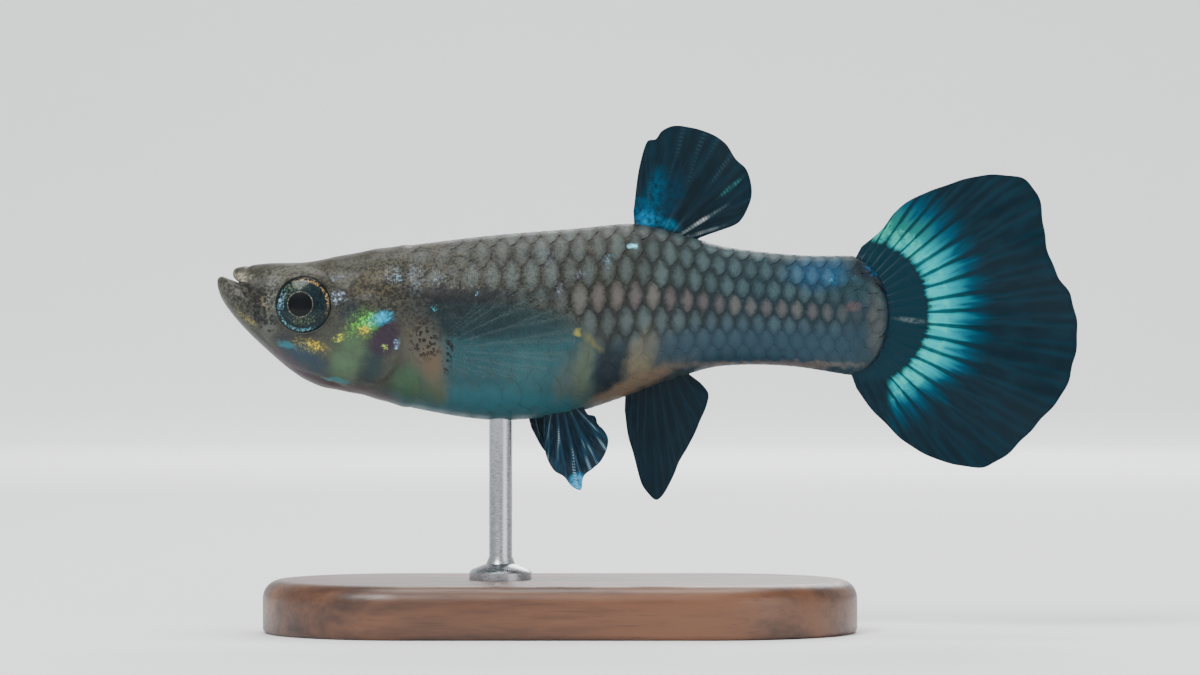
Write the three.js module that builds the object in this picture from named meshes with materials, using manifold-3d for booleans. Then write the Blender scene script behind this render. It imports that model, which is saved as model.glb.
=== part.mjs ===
// A female fancy guppy, life size, as a still display model on a small stand.
// Millimetres, +Z up, head towards -X, the fish's left side towards -Y.
// The origin is the middle of the stand's underside. The fish is drawn in its own
// frame, x from the tip of the lower jaw to the tail and z from its long axis, and
// the group that holds it is then set over the stand.

import * as THREE from 'three';
import { mergeVertices } from 'three/addons/utils/BufferGeometryUtils.js';
import Module from 'manifold-3d';

const wasm = await Module();
wasm.setup();

// Driving sizes of the fish
const JAW_TIP_TO_ORIGIN = 20.8;
const AXIS_HEIGHT = 19.4;
const BODY_SIDES = 32;
const RING_STEP = 1.2;
const SNOUT_STATIONS = [0.02, 0.08, 0.18, 0.34, 0.62, 1.02, 1.52];
const SNOUT_END = 2.1;
const HEAD_END = 11.65;
const TRUNK_START = 11.9;
const TRUNK_END = 30.3;
const TAIL_START = 30.55;
const TAIL_ARC_START = 38.3;
const TAIL_ARC_LENGTH = 2.42;
const TAIL_ARC_HALF_DEPTH = 3.7;
const TAIL_ARC_MIDDLE = -0.18;
const TAIL_END_WIDTH = 0.25;
const TAIL_ARC_DEGREES = [15, 30, 45, 58, 70, 80];
const GAP = 0.25;
const MERGE_DISTANCE = 1e-4;

// Driving sizes of the eyes and gill covers
const EYE = { x: 5.29, z: 0.38, radius: 1.67, depth: 1.15, reach: 1.78 };
const GILL_COVER_THICKNESS = 0.5;
const GILL_CUT_START = 1.2;
const HEAD_CUT_REACH = 6;

// Driving sizes of the fins
const FIN_ROOT_THICKNESS = 0.6;
const FIN_EDGE_THICKNESS = 0.5;
const FIN_ROOT_GAP = 0.2;
const PELVIC_SPREAD = 0.62;
const PELVIC_LEAN = 0.16;
const PELVIC_CLEARANCE = 0.25;
const FAR_PELVIC_SHIFT = -1.0;
const FAR_PELVIC_SWEEP = THREE.MathUtils.degToRad(24);
const PECTORAL_ROOT = 14.1;
const PECTORAL_LEAN = 0.3;
const TAIL_SWAY = { start: 28, length: 24, reach: -1.1 };
const TAIL_RIPPLE = { reach: 0.32, wavelength: 8.5, slant: 0.4, start: 42, length: 10 };
const DORSAL_RIPPLE = 0.22;
const ANAL_RIPPLE = -0.18;
const MEDIAN_RIPPLE_RATE = 1.15;

// Driving sizes of the stand
const STAND = { length: 36, width: 18, thickness: 3.2, bevel: 0.3, shoulder: 1.1, cornerSteps: 12 };
const ROD = { x: -3.6, radius: 0.7, bevel: 0.2, footRadius: 1.9, footThickness: 0.6, sides: 20, entry: 0.9 };

/** Returns z(x), a smooth curve through [x, z] knots, level beyond its ends. */
function through(knots) {
  const last = knots.length - 1;
  const slopes = knots.map((knot, i) => {
    const before = knots[Math.max(i - 1, 0)];
    const after = knots[Math.min(i + 1, last)];
    return (after[1] - before[1]) / (after[0] - before[0]);
  });
  return (x) => {
    if (x <= knots[0][0]) return knots[0][1];
    if (x >= knots[last][0]) return knots[last][1];
    const i = knots.findIndex((knot) => knot[0] > x) - 1;
    const width = knots[i + 1][0] - knots[i][0];
    const t = (x - knots[i][0]) / width;
    const [rise, back] = [t * t * (3 - 2 * t), 1 - t];
    return knots[i][1] * (1 - rise) + knots[i + 1][1] * rise
      + width * t * back * (slopes[i] * back - slopes[i + 1] * t);
  };
}

// Outline of the body from the side, and half its width from above
const backLine = through([
  [0, 1.75], [0.15, 2.3], [0.6, 2.6], [1.15, 2.72], [3.3, 2.97], [5.6, 3.05], [7.45, 3.42], [11.1, 4.06],
  [16, 4.65], [22, 5.15], [25.2, 5.42], [27, 5.1], [29.1, 4.5], [30.9, 4.0], [35.3, 3.52], [38.3, 3.48],
]);
const bellyLine = through([
  [0, 1.4], [0.15, 1.0], [0.42, 0.6], [1.15, -0.4], [3.7, -2.9], [5.03, -3.92], [6.24, -4.5], [8.7, -5.02],
  [12.3, -6.02], [16.5, -6.62], [20, -6.46], [22, -6.1], [24.4, -5.32], [28.4, -3.9], [30.5, -3.36],
  [34.5, -3.34], [38.3, -3.9],
]);
const halfWidth = through([
  [0, 0.45], [0.15, 0.85], [0.6, 1.2], [1.2, 1.5], [2.2, 1.9], [3.7, 2.3], [5.3, 2.55], [7, 2.8], [9, 3.02],
  [11.5, 3.2], [14, 3.35], [17, 3.4], [20, 3.3], [23, 2.95], [26, 2.42], [29, 1.98], [32, 1.66], [35, 1.38],
  [38.3, 1.0],
]);
const waistLine = through([
  [0, 1.6], [1.2, 1.0], [3.7, 0.2], [6, -0.3], [9, -0.6], [14, -1.1], [20, -0.9], [26, 0.1], [32, 0.2],
  [38.3, -0.18],
]);
const upperPower = through([[0, 2.2], [3, 2.9], [7, 2.8], [14, 2.2], [24, 2.0], [38.3, 2.3]]);
const lowerPower = through([[0, 2.2], [3, 2.0], [8, 1.9], [16, 2.15], [24, 1.9], [38.3, 2.2]]);

/** Returns the body's top, bottom, half width and waist at station x, set in by a depth. */
function bodySizes(x, inset) {
  const past = Math.min(Math.max((x - TAIL_ARC_START) / TAIL_ARC_LENGTH, 0), 1);
  const keep = Math.sqrt(1 - past * past);
  const middle = TAIL_ARC_MIDDLE;
  return {
    top: middle + (backLine(x) - middle) * keep - inset,
    bottom: middle + (bellyLine(x) - middle) * keep + inset,
    half: halfWidth(x) * THREE.MathUtils.lerp(TAIL_END_WIDTH, 1, keep) - inset,
    waist: waistLine(x),
  };
}

/** Returns the closed section of the body at station x as a list of points. */
function bodyRing(x, inset = 0) {
  const { top, bottom, half, waist } = bodySizes(x, inset);
  const [upper, lower] = [2 / upperPower(x), 2 / lowerPower(x)];
  const ring = [];
  for (let i = 0; i < BODY_SIDES; i += 1) {
    const angle = (i / BODY_SIDES) * 2 * Math.PI;
    const [across, up] = [Math.cos(angle), Math.sin(angle)];
    const power = up >= 0 ? upper : lower;
    const reach = up >= 0 ? top - waist : bottom - waist;
    const y = half * Math.sign(across) * Math.abs(across) ** power;
    ring.push(new THREE.Vector3(x, y, waist + reach * Math.abs(up) ** power));
  }
  return ring;
}

/** Joins rings of equal count into one closed skin, with a fan of faces at each end. */
function loft(rings) {
  const sides = rings[0].length;
  const points = rings.flat();
  const faces = [];
  for (let r = 0; r + 1 < rings.length; r += 1) {
    for (let i = 0; i < sides; i += 1) {
      const [a, b] = [r * sides + i, r * sides + ((i + 1) % sides)];
      faces.push(a, b, a + sides, b, b + sides, a + sides);
    }
  }
  for (const [r, turn] of [[0, 1], [rings.length - 1, -1]]) {
    const middle = rings[r].reduce((sum, p) => sum.add(p), new THREE.Vector3()).divideScalar(sides);
    points.push(middle);
    for (let i = 0; i < sides; i += 1) {
      const [a, b] = [r * sides + i, r * sides + ((i + 1) % sides)];
      faces.push(...(turn > 0 ? [points.length - 1, b, a] : [points.length - 1, a, b]));
    }
  }
  const geometry = new THREE.BufferGeometry().setFromPoints(points);
  geometry.setIndex(faces);
  return geometry;
}

/** Returns the stations from start to end in even steps no longer than RING_STEP. */
function stations(start, end) {
  const count = Math.ceil((end - start) / RING_STEP);
  return Array.from({ length: count + 1 }, (_, i) => start + ((end - start) * i) / count);
}

/** A copy of a geometry that keeps only its positions, with like ones merged. */
function weldedCopy(geometry) {
  const bare = geometry.clone();
  bare.deleteAttribute('normal');
  bare.deleteAttribute('uv');
  return mergeVertices(bare, MERGE_DISTANCE);
}

/** Turns a closed geometry into a solid that can be joined and cut. */
function solidOf(geometry) {
  const merged = weldedCopy(geometry);
  const vertProperties = new Float32Array(merged.attributes.position.array);
  const triVerts = new Uint32Array(merged.index.array);
  return new wasm.Manifold(new wasm.Mesh({ numProp: 3, vertProperties, triVerts }));
}

/** Turns a solid back into a geometry. */
function geometryOf(solid) {
  const { vertProperties, triVerts } = solid.getMesh();
  const geometry = new THREE.BufferGeometry();
  geometry.setAttribute('position', new THREE.BufferAttribute(new Float32Array(vertProperties), 3));
  geometry.setIndex([...triVerts]);
  return geometry;
}

/** A prism over a side outline of [x, z] points, from y = near to y = far. */
function sidePrism(outline, near, far) {
  const shape = new THREE.Shape(outline.map(([x, z]) => new THREE.Vector2(x, z)));
  const prism = new THREE.ExtrudeGeometry(shape, { depth: far - near, bevelEnabled: false });
  prism.rotateX(Math.PI / 2);
  prism.translate(0, far, 0);
  return solidOf(prism);
}

/** Returns an outline grown outwards from its middle by a distance. */
function grown(outline, distance) {
  const points = outline.map(([x, z]) => new THREE.Vector2(x, z));
  const middle = points.reduce((sum, point) => sum.add(point), new THREE.Vector2());
  middle.divideScalar(points.length);
  return points.map((point) => {
    const away = point.clone().sub(middle);
    return away.setLength(away.length() + distance).add(middle).toArray();
  });
}

/** An eyeball, or its socket when grown, on side -1 (left) or 1 (right). */
function eyeBall(side, grow) {
  const ball = new THREE.SphereGeometry(1, 20, 12);
  ball.rotateX(Math.PI / 2);
  ball.scale(EYE.radius + grow, EYE.depth + grow, EYE.radius + grow);
  ball.translate(EYE.x, side * EYE.reach, EYE.z);
  return ball;
}

// Side outlines that part the head: the open gape, the jaws and the gill cover
const GAPE_CORNER = [1.8, 1.5];
const LOWER_JAW = [
  GAPE_CORNER, [2.2, -2.2], [2.3, -4], [-2, -4], [-2, 2.3], [0.15, 2.3], [0.45, 2.12], [0.9, 1.87],
  [1.2, 1.62],
];
const UPPER_JAW = [[1.02, 3.4], [1.02, 2.2], [1.2, 1.9], [1.75, 1.62], [2.15, 3.4]];
const FRONT_OF_HEAD = [[2.4, 3.6], [2.02, 1.55], [2.45, -2.2], [2.55, -4.2], [-3, -4.2], [-3, 3.6]];
const GILL_COVER = [
  [7.55, 0.3], [8.3, 0.8], [9.5, 0.95], [10.7, 0.55], [11.3, -0.6], [11.4, -1.9], [11.05, -3.2], [10.2, -4.1],
  [9.1, -4.35], [8.0, -4.0], [7.35, -2.9], [7.2, -1.4],
];

/** Builds the head, its jaws and gill covers from one loft parted by thin cuts. */
function headPieces() {
  const rings = [...SNOUT_STATIONS, ...stations(SNOUT_END, HEAD_END)];
  const behindJaws = rings.filter((x) => x > GAPE_CORNER[0]);
  const whole = solidOf(loft(rings.map((x) => bodyRing(x))));
  const core = solidOf(loft(behindJaws.map((x) => bodyRing(x, GILL_COVER_THICKNESS))));
  const deepCore = solidOf(loft(behindJaws.map((x) => bodyRing(x, GILL_COVER_THICKNESS + GAP))));
  const across = (outline) => sidePrism(outline, -HEAD_CUT_REACH, HEAD_CUT_REACH);
  let head = whole.subtract(across(FRONT_OF_HEAD));
  const pieces = {
    lower_jaw: geometryOf(whole.intersect(across(LOWER_JAW))),
    upper_jaw: geometryOf(whole.intersect(across(UPPER_JAW))),
  };
  for (const [side, name] of [[-1, 'left'], [1, 'right']]) {
    const [near, far] = side < 0 ? [-HEAD_CUT_REACH, -GILL_CUT_START] : [GILL_CUT_START, HEAD_CUT_REACH];
    head = head.subtract(solidOf(eyeBall(side, GAP)));
    head = head.subtract(sidePrism(grown(GILL_COVER, GAP), near, far).subtract(deepCore));
    const cover = whole.intersect(sidePrism(GILL_COVER, near, far)).subtract(core);
    pieces[`gill_cover_${name}`] = geometryOf(cover);
    pieces[`eye_${name}`] = eyeBall(side, 0);
  }
  return { head: geometryOf(head), ...pieces };
}

/** The trunk, with a blind socket in its belly for the rod. */
function trunk() {
  const whole = solidOf(loft(stations(TRUNK_START, TRUNK_END).map((x) => bodyRing(x))));
  const socketLength = 4 * ROD.entry;
  const socket = new THREE.CylinderGeometry(ROD.radius + GAP, ROD.radius + GAP, socketLength, ROD.sides);
  socket.rotateX(Math.PI / 2);
  const rodStation = ROD.x + JAW_TIP_TO_ORIGIN;
  socket.translate(rodStation, 0, bellyLine(rodStation) + ROD.entry + GAP - socketLength / 2);
  return geometryOf(whole.subtract(solidOf(socket)));
}

/** Bends a piece of the tail sideways, more the further back it is, with a ripple in the fin. */
function swayed(geometry) {
  const { position } = geometry.attributes;
  for (let i = 0; i < position.count; i += 1) {
    const [x, z] = [position.getX(i), position.getZ(i)];
    const back = Math.max((x - TAIL_SWAY.start) / TAIL_SWAY.length, 0);
    const loose = Math.max((x - TAIL_RIPPLE.start) / TAIL_RIPPLE.length, 0);
    const wave = Math.sin((2 * Math.PI * (z + TAIL_RIPPLE.slant * x)) / TAIL_RIPPLE.wavelength);
    const shift = TAIL_SWAY.reach * back * back + TAIL_RIPPLE.reach * loose * wave;
    position.setY(i, position.getY(i) + shift);
  }
  return geometry;
}

/** The tail stem, which ends in the round scaled edge that the caudal fin grows from. */
function tailStem() {
  const arcStations = TAIL_ARC_DEGREES.map((degrees) => {
    return TAIL_ARC_START + TAIL_ARC_LENGTH * Math.sin(THREE.MathUtils.degToRad(degrees));
  });
  const all = [...stations(TAIL_START, TAIL_ARC_START), ...arcStations];
  return swayed(loft(all.map((x) => bodyRing(x))));
}

/** Returns evenly spaced points of a smooth curve through side points [x, z]. */
function sideCurve(points, count) {
  const corners = points.map(([x, z]) => new THREE.Vector3(x, 0, z));
  return new THREE.CatmullRomCurve3(corners, false, 'centripetal').getSpacedPoints(count);
}

/**
 * A thin closed fin between its root and its outer edge, both given from front to back
 * by side points. place(x, z, out) gives y, where out is 0 at the root and 1 at the edge.
 */
function fin(root, edge, { along = 16, outwards = 5, place = () => 0 } = {}) {
  const rootPoints = sideCurve(root, along);
  const edgePoints = sideCurve(edge, along);
  const points = [];
  const faces = [];
  for (const side of [-1, 1]) {
    for (let r = 0; r <= outwards; r += 1) {
      const out = r / outwards;
      const thickness = THREE.MathUtils.lerp(FIN_ROOT_THICKNESS, FIN_EDGE_THICKNESS, out);
      for (let i = 0; i <= along; i += 1) {
        const point = rootPoints[i].clone().lerp(edgePoints[i], out);
        point.y = place(point.x, point.z, out) + (side * thickness) / 2;
        points.push(point);
      }
    }
  }
  const columns = along + 1;
  const sheet = columns * (outwards + 1);
  const quad = (a, b, c, d) => faces.push(a, b, c, a, c, d);
  for (let r = 0; r < outwards; r += 1) {
    for (let i = 0; i < along; i += 1) {
      const a = r * columns + i;
      quad(a, a + 1, a + columns + 1, a + columns);
      quad(sheet + a, sheet + a + columns, sheet + a + columns + 1, sheet + a + 1);
    }
    const [first, final] = [r * columns, r * columns + along];
    quad(first, first + columns, first + columns + sheet, first + sheet);
    quad(final, final + sheet, final + columns + sheet, final + columns);
  }
  for (let i = 0; i < along; i += 1) {
    const [near, far] = [i, outwards * columns + i];
    quad(near, near + sheet, near + 1 + sheet, near + 1);
    quad(far, far + 1, far + 1 + sheet, far + sheet);
  }
  const geometry = new THREE.BufferGeometry().setFromPoints(points);
  geometry.setIndex(faces);
  return outwardFacing(geometry);
}

/** Turns all faces over if the closed geometry is inside out. */
function outwardFacing(geometry) {
  const { position } = geometry.attributes;
  const index = [...geometry.index.array];
  const corner = (i) => new THREE.Vector3().fromBufferAttribute(position, index[i]);
  let volume = 0;
  for (let i = 0; i < index.length; i += 3) {
    volume += corner(i).dot(corner(i + 1).cross(corner(i + 2)));
  }
  if (volume < 0) {
    for (let i = 0; i < index.length; i += 3) [index[i], index[i + 1]] = [index[i + 1], index[i]];
    geometry.setIndex(index);
  }
  return geometry;
}

/** The dorsal fin: a tall front lobe and a rounded rear lobe that trails over the back. */
function dorsalFin() {
  const rootLine = [25.3, 27, 28.9].map((x) => [x, backLine(x) + FIN_ROOT_GAP]);
  const edge = [
    [25.25, 6.1], [25.57, 8.61], [26.06, 10.3], [26.6, 10.5], [26.97, 11.0], [27.6, 11.27], [28.4, 11.25],
    [29.33, 11.05], [30.78, 10.3], [31.45, 9.27], [32.12, 8.67], [32.4, 7.7], [32.36, 6.73], [31.75, 5.55],
    [30.97, 5.12], [29.6, 4.82],
  ];
  const place = (x, z, out) => DORSAL_RIPPLE * out * Math.sin((x - rootLine[0][0]) * MEDIAN_RIPPLE_RATE);
  return fin(rootLine, edge, { along: 16, outwards: 5, place });
}

/** The anal fin: a narrow fan that hangs from the belly line behind the vent. */
function analFin() {
  const rootLine = [24.75, 26.5, 28.4].map((x) => [x, bellyLine(x) - FIN_ROOT_GAP]);
  const edge = [
    [24.72, -6.0], [24.91, -7.45], [25.27, -8.73], [25.69, -10.3], [26.24, -11.15], [26.66, -11.4],
    [27.21, -10.85], [27.69, -9.88], [28.12, -8.91], [28.79, -7.76], [29.27, -6.67], [29.63, -5.82],
    [29.8, -4.95], [29.3, -4.3],
  ];
  const place = (x, z, out) => ANAL_RIPPLE * out * Math.sin((x - rootLine[0][0]) * MEDIAN_RIPPLE_RATE);
  return fin(rootLine, edge, { along: 16, outwards: 5, place });
}

/** The caudal fin: a broad fan round the tail stem, with a rounded rear edge. */
function caudalFin() {
  const rootLine = [];
  for (let degrees = 80; degrees >= -88; degrees -= 14) {
    const angle = THREE.MathUtils.degToRad(degrees);
    const x = TAIL_ARC_START + (TAIL_ARC_LENGTH + FIN_ROOT_GAP) * Math.cos(angle);
    rootLine.push([x, TAIL_ARC_MIDDLE + (TAIL_ARC_HALF_DEPTH + GAP) * Math.sin(angle)]);
  }
  const edge = [
    [39.05, 3.95], [40.24, 4.95], [41.09, 6.06], [42.12, 6.85], [43.94, 7.6], [45.81, 8.18], [47.15, 8.32],
    [48.7, 8.14], [49.51, 7.45], [49.87, 6.61], [50.24, 3.88], [50.9, 2.18], [51.7, 0.9], [52.12, -1.2],
    [51.87, -3.03], [51.27, -4.79], [50.24, -6.12], [48.06, -8.48], [46.9, -9.25], [46.0, -9.45],
    [44.48, -9.2], [43.09, -8.73], [41.51, -7.76], [40.5, -6.75], [39.63, -5.88], [38.75, -4.65],
  ];
  return swayed(fin(rootLine, edge, { along: 30, outwards: 8 }));
}

/** A pelvic fin under the belly; the far one is set forward and swept back more. */
function pelvicFin(side) {
  const sweep = side > 0 ? FAR_PELVIC_SWEEP : 0;
  const shift = side > 0 ? FAR_PELVIC_SHIFT : 0;
  const hinge = [19.76, -6.5];
  const swept = ([x, z]) => {
    const [dx, dz] = [x - hinge[0], z - hinge[1]];
    const turnedX = hinge[0] + shift + dx * Math.cos(sweep) - dz * Math.sin(sweep);
    const turnedZ = hinge[1] + dx * Math.sin(sweep) + dz * Math.cos(sweep);
    return [turnedX, Math.min(turnedZ, bellyLine(turnedX) - FIN_ROOT_GAP - PELVIC_CLEARANCE)];
  };
  const rootLine = [19.85, 21, 22.2].map((x) => [x + shift, bellyLine(x + shift) - FIN_ROOT_GAP]);
  const edge = [
    [19.8, -7.1], [19.94, -8.6], [20.42, -9.57], [21.03, -9.94], [21.51, -10.54], [22.06, -10.73],
    [22.25, -9.95], [22.8, -9.45], [23.3, -9.0], [23.6, -8.4], [23.72, -7.7], [23.45, -7.15], [22.9, -6.85],
  ].map(swept);
  const place = (x, z) => side * (PELVIC_SPREAD + PELVIC_LEAN * Math.max(bellyLine(x) - z, 0));
  return fin(rootLine, edge, { along: 14, outwards: 4, place });
}

/** A pectoral fin: a clear fan behind the gill cover, held up and away from the flank. */
function pectoralFin(side) {
  const rootLine = [[14.15, -1.0], [14.5, -2.1], [14.5, -3.2]];
  const edge = [
    [14.6, -0.45], [16.6, 0.7], [18.2, 1.45], [19.4, 1.6], [20.6, 0.95], [21.6, -0.1], [21.9, -1.3],
    [21.2, -2.6], [19.6, -3.6], [17.4, -4.0], [15.1, -3.75],
  ];
  const rootHalf = halfWidth(PECTORAL_ROOT) + FIN_ROOT_GAP + FIN_ROOT_THICKNESS / 2;
  const place = (x) => side * (rootHalf + PECTORAL_LEAN * Math.max(x - PECTORAL_ROOT, 0) ** 0.9);
  return fin(rootLine, edge, { along: 14, outwards: 5, place });
}

/** The level outline of the stand, an oblong with round ends, set in by a distance. */
function standRing(inset, height) {
  const end = STAND.width / 2 - inset;
  const straight = (STAND.length - STAND.width) / 2;
  const ring = [];
  for (const [middle, start] of [[straight, -Math.PI / 2], [-straight, Math.PI / 2]]) {
    for (let i = 0; i <= STAND.cornerSteps; i += 1) {
      const angle = start + (Math.PI * i) / STAND.cornerSteps;
      ring.push(new THREE.Vector3(middle + end * Math.cos(angle), end * Math.sin(angle), height));
    }
  }
  return ring;
}

/** The stand's foot: a flat oblong with a small bevel below and a rounded shoulder above. */
function standBase() {
  const { bevel, shoulder } = STAND;
  const rings = [standRing(bevel, 0), standRing(0, bevel), standRing(0, STAND.thickness - shoulder)];
  for (const degrees of [22.5, 45, 67.5, 90]) {
    const angle = THREE.MathUtils.degToRad(degrees);
    const height = STAND.thickness - shoulder * (1 - Math.sin(angle));
    rings.push(standRing(shoulder * (1 - Math.cos(angle)), height));
  }
  return outwardFacing(loft(rings));
}

/** The rod, with a small round foot, up into the socket in the belly. */
function standRod() {
  const bottom = STAND.thickness + GAP;
  const top = AXIS_HEIGHT + bellyLine(ROD.x + JAW_TIP_TO_ORIGIN) + ROD.entry;
  const profile = [
    [0, bottom], [ROD.footRadius, bottom], [ROD.footRadius, bottom + ROD.footThickness],
    [ROD.radius, bottom + ROD.footThickness * 2], [ROD.radius, top - ROD.bevel],
    [ROD.radius - ROD.bevel, top], [0, top],
  ];
  const rod = new THREE.LatheGeometry(profile.map(([r, z]) => new THREE.Vector2(r, z)), ROD.sides);
  rod.rotateX(Math.PI / 2);
  rod.translate(ROD.x, 0, 0);
  return outwardFacing(weldedCopy(rod));
}

const FINISHES = {
  skin: { color: 0x6d7367, roughness: 0.42, metalness: 0.0 },
  gill: { color: 0x4f6f62, roughness: 0.3, metalness: 0.2 },
  belly: { color: 0x4c6a68, roughness: 0.4, metalness: 0.0 },
  tail: { color: 0x2c4a58, roughness: 0.4, metalness: 0.0 },
  eye: { color: 0x10262c, roughness: 0.08, metalness: 0.0 },
  darkFin: { color: 0x0c1f30, roughness: 0.45, metalness: 0.0 },
  brightFin: { color: 0x0c6f82, roughness: 0.4, metalness: 0.1 },
  clearFin: { color: 0x8f9a90, roughness: 0.35, metalness: 0.0 },
  wood: { color: 0x4a2f1e, roughness: 0.5, metalness: 0.0 },
  steel: { color: 0xb9bcc0, roughness: 0.3, metalness: 1.0 },
};

/** A named mesh with its own material. */
function piece(name, geometry, finish) {
  const mesh = new THREE.Mesh(geometry, new THREE.MeshStandardMaterial(FINISHES[finish]));
  mesh.name = name;
  return mesh;
}

const HEAD_FINISHES = { head: 'skin', upper_jaw: 'skin', lower_jaw: 'skin' };

const fish = new THREE.Group();
fish.position.set(-JAW_TIP_TO_ORIGIN, 0, AXIS_HEIGHT);
for (const [name, geometry] of Object.entries(headPieces())) {
  const finish = HEAD_FINISHES[name] ?? (name.startsWith('eye') ? 'eye' : 'gill');
  fish.add(piece(name, geometry, finish));
}
fish.add(piece('trunk', trunk(), 'belly'));
fish.add(piece('tail', tailStem(), 'tail'));
fish.add(piece('dorsal_fin', dorsalFin(), 'darkFin'));
fish.add(piece('anal_fin', analFin(), 'darkFin'));
fish.add(piece('caudal_fin', caudalFin(), 'brightFin'));
for (const [side, name] of [[-1, 'left'], [1, 'right']]) {
  fish.add(piece(`pelvic_fin_${name}`, pelvicFin(side), 'darkFin'));
  fish.add(piece(`pectoral_fin_${name}`, pectoralFin(side), 'clearFin'));
}

const model = new THREE.Group();
model.add(fish);
model.add(piece('stand_base', standBase(), 'wood'));
model.add(piece('stand_rod', standRod(), 'steel'));

export default model;
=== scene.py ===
"""The looks of a life-size female fancy guppy held on a small display stand.

Sizes are in millimetres in the fish's own frame, x from the tip of the lower jaw to the
tail, z up from the long axis and y less than 0 on the fish's left. to_world turns them
into the shared frame's metres.
"""

import logging
import math
from contextlib import contextmanager
from dataclasses import dataclass
from enum import Enum
from typing import Callable, Iterator, Sequence

import bpy
import numpy as np
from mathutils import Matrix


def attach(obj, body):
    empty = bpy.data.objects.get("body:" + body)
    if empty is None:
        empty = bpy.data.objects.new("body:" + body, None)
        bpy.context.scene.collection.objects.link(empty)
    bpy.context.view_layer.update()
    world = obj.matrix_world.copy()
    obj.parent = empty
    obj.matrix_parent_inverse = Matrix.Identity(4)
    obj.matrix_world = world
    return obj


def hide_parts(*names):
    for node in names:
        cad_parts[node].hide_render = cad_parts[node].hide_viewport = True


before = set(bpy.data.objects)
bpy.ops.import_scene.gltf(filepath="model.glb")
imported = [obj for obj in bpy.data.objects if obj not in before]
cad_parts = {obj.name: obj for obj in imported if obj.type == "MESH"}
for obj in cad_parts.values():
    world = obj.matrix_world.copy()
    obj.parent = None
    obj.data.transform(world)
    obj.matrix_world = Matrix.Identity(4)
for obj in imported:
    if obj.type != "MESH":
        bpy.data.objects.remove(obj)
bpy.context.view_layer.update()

LOG = logging.getLogger("guppy")
MILLIMETRE = 0.001
JAW_TIP_TO_ORIGIN = 20.8
AXIS_HEIGHT = 19.4
LEFT, RIGHT = -1, 1
BAKE_MAP = "OFBake"
RAY_MAP = "Rays"
CELL_MAP = "Cell"
MERGE_DISTANCE = 1e-6
NO_REACH = 1e6
FISH_TO_WORLD = (-JAW_TIP_TO_ORIGIN, 0.0, AXIS_HEIGHT)

Point = tuple[float, float]
Colour = tuple[float, float, float, float]
Socket = bpy.types.NodeSocket


def colour(red: float, green: float, blue: float) -> Colour:
    """Returns a linear colour from screen values of 0 to 255."""
    shares = [value / 255 for value in (red, green, blue)]
    linear = [s / 12.92 if s <= 0.04045 else ((s + 0.055) / 1.055) ** 2.4 for s in shares]
    return (*linear, 1.0)


def to_world(points: np.ndarray) -> np.ndarray:
    """Turns points of the fish's frame in millimetres into the shared frame's metres."""
    return (points + np.array(FISH_TO_WORLD)) * MILLIMETRE


def ease(value: np.ndarray, low: float, high: float) -> np.ndarray:
    """Rises smoothly from 0 at low to 1 at high."""
    share = np.clip((np.asarray(value, float) - low) / (high - low), 0.0, 1.0)
    return share * share * (3 - 2 * share)


class Line:
    """A smooth line through [x, z] knots, level beyond its ends."""

    def __init__(self, *knots: Point) -> None:
        """Keeps the knots and works out the slope at each."""
        self.x = np.array([knot[0] for knot in knots], float)
        self.z = np.array([knot[1] for knot in knots], float)
        last = len(knots) - 1
        before = np.maximum(np.arange(last + 1) - 1, 0)
        after = np.minimum(np.arange(last + 1) + 1, last)
        self.slope = (self.z[after] - self.z[before]) / (self.x[after] - self.x[before])

    def __call__(self, x: np.ndarray) -> np.ndarray:
        """Returns z at each x."""
        x = np.clip(np.asarray(x, float), self.x[0], self.x[-1])
        i = np.clip(np.searchsorted(self.x, x, side="right") - 1, 0, len(self.x) - 2)
        width = self.x[i + 1] - self.x[i]
        t = (x - self.x[i]) / width
        rise = t * t * (3 - 2 * t)
        bow = t * (1 - t) * (self.slope[i] * (1 - t) - self.slope[i + 1] * t)
        return self.z[i] * (1 - rise) + self.z[i + 1] * rise + width * bow


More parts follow.
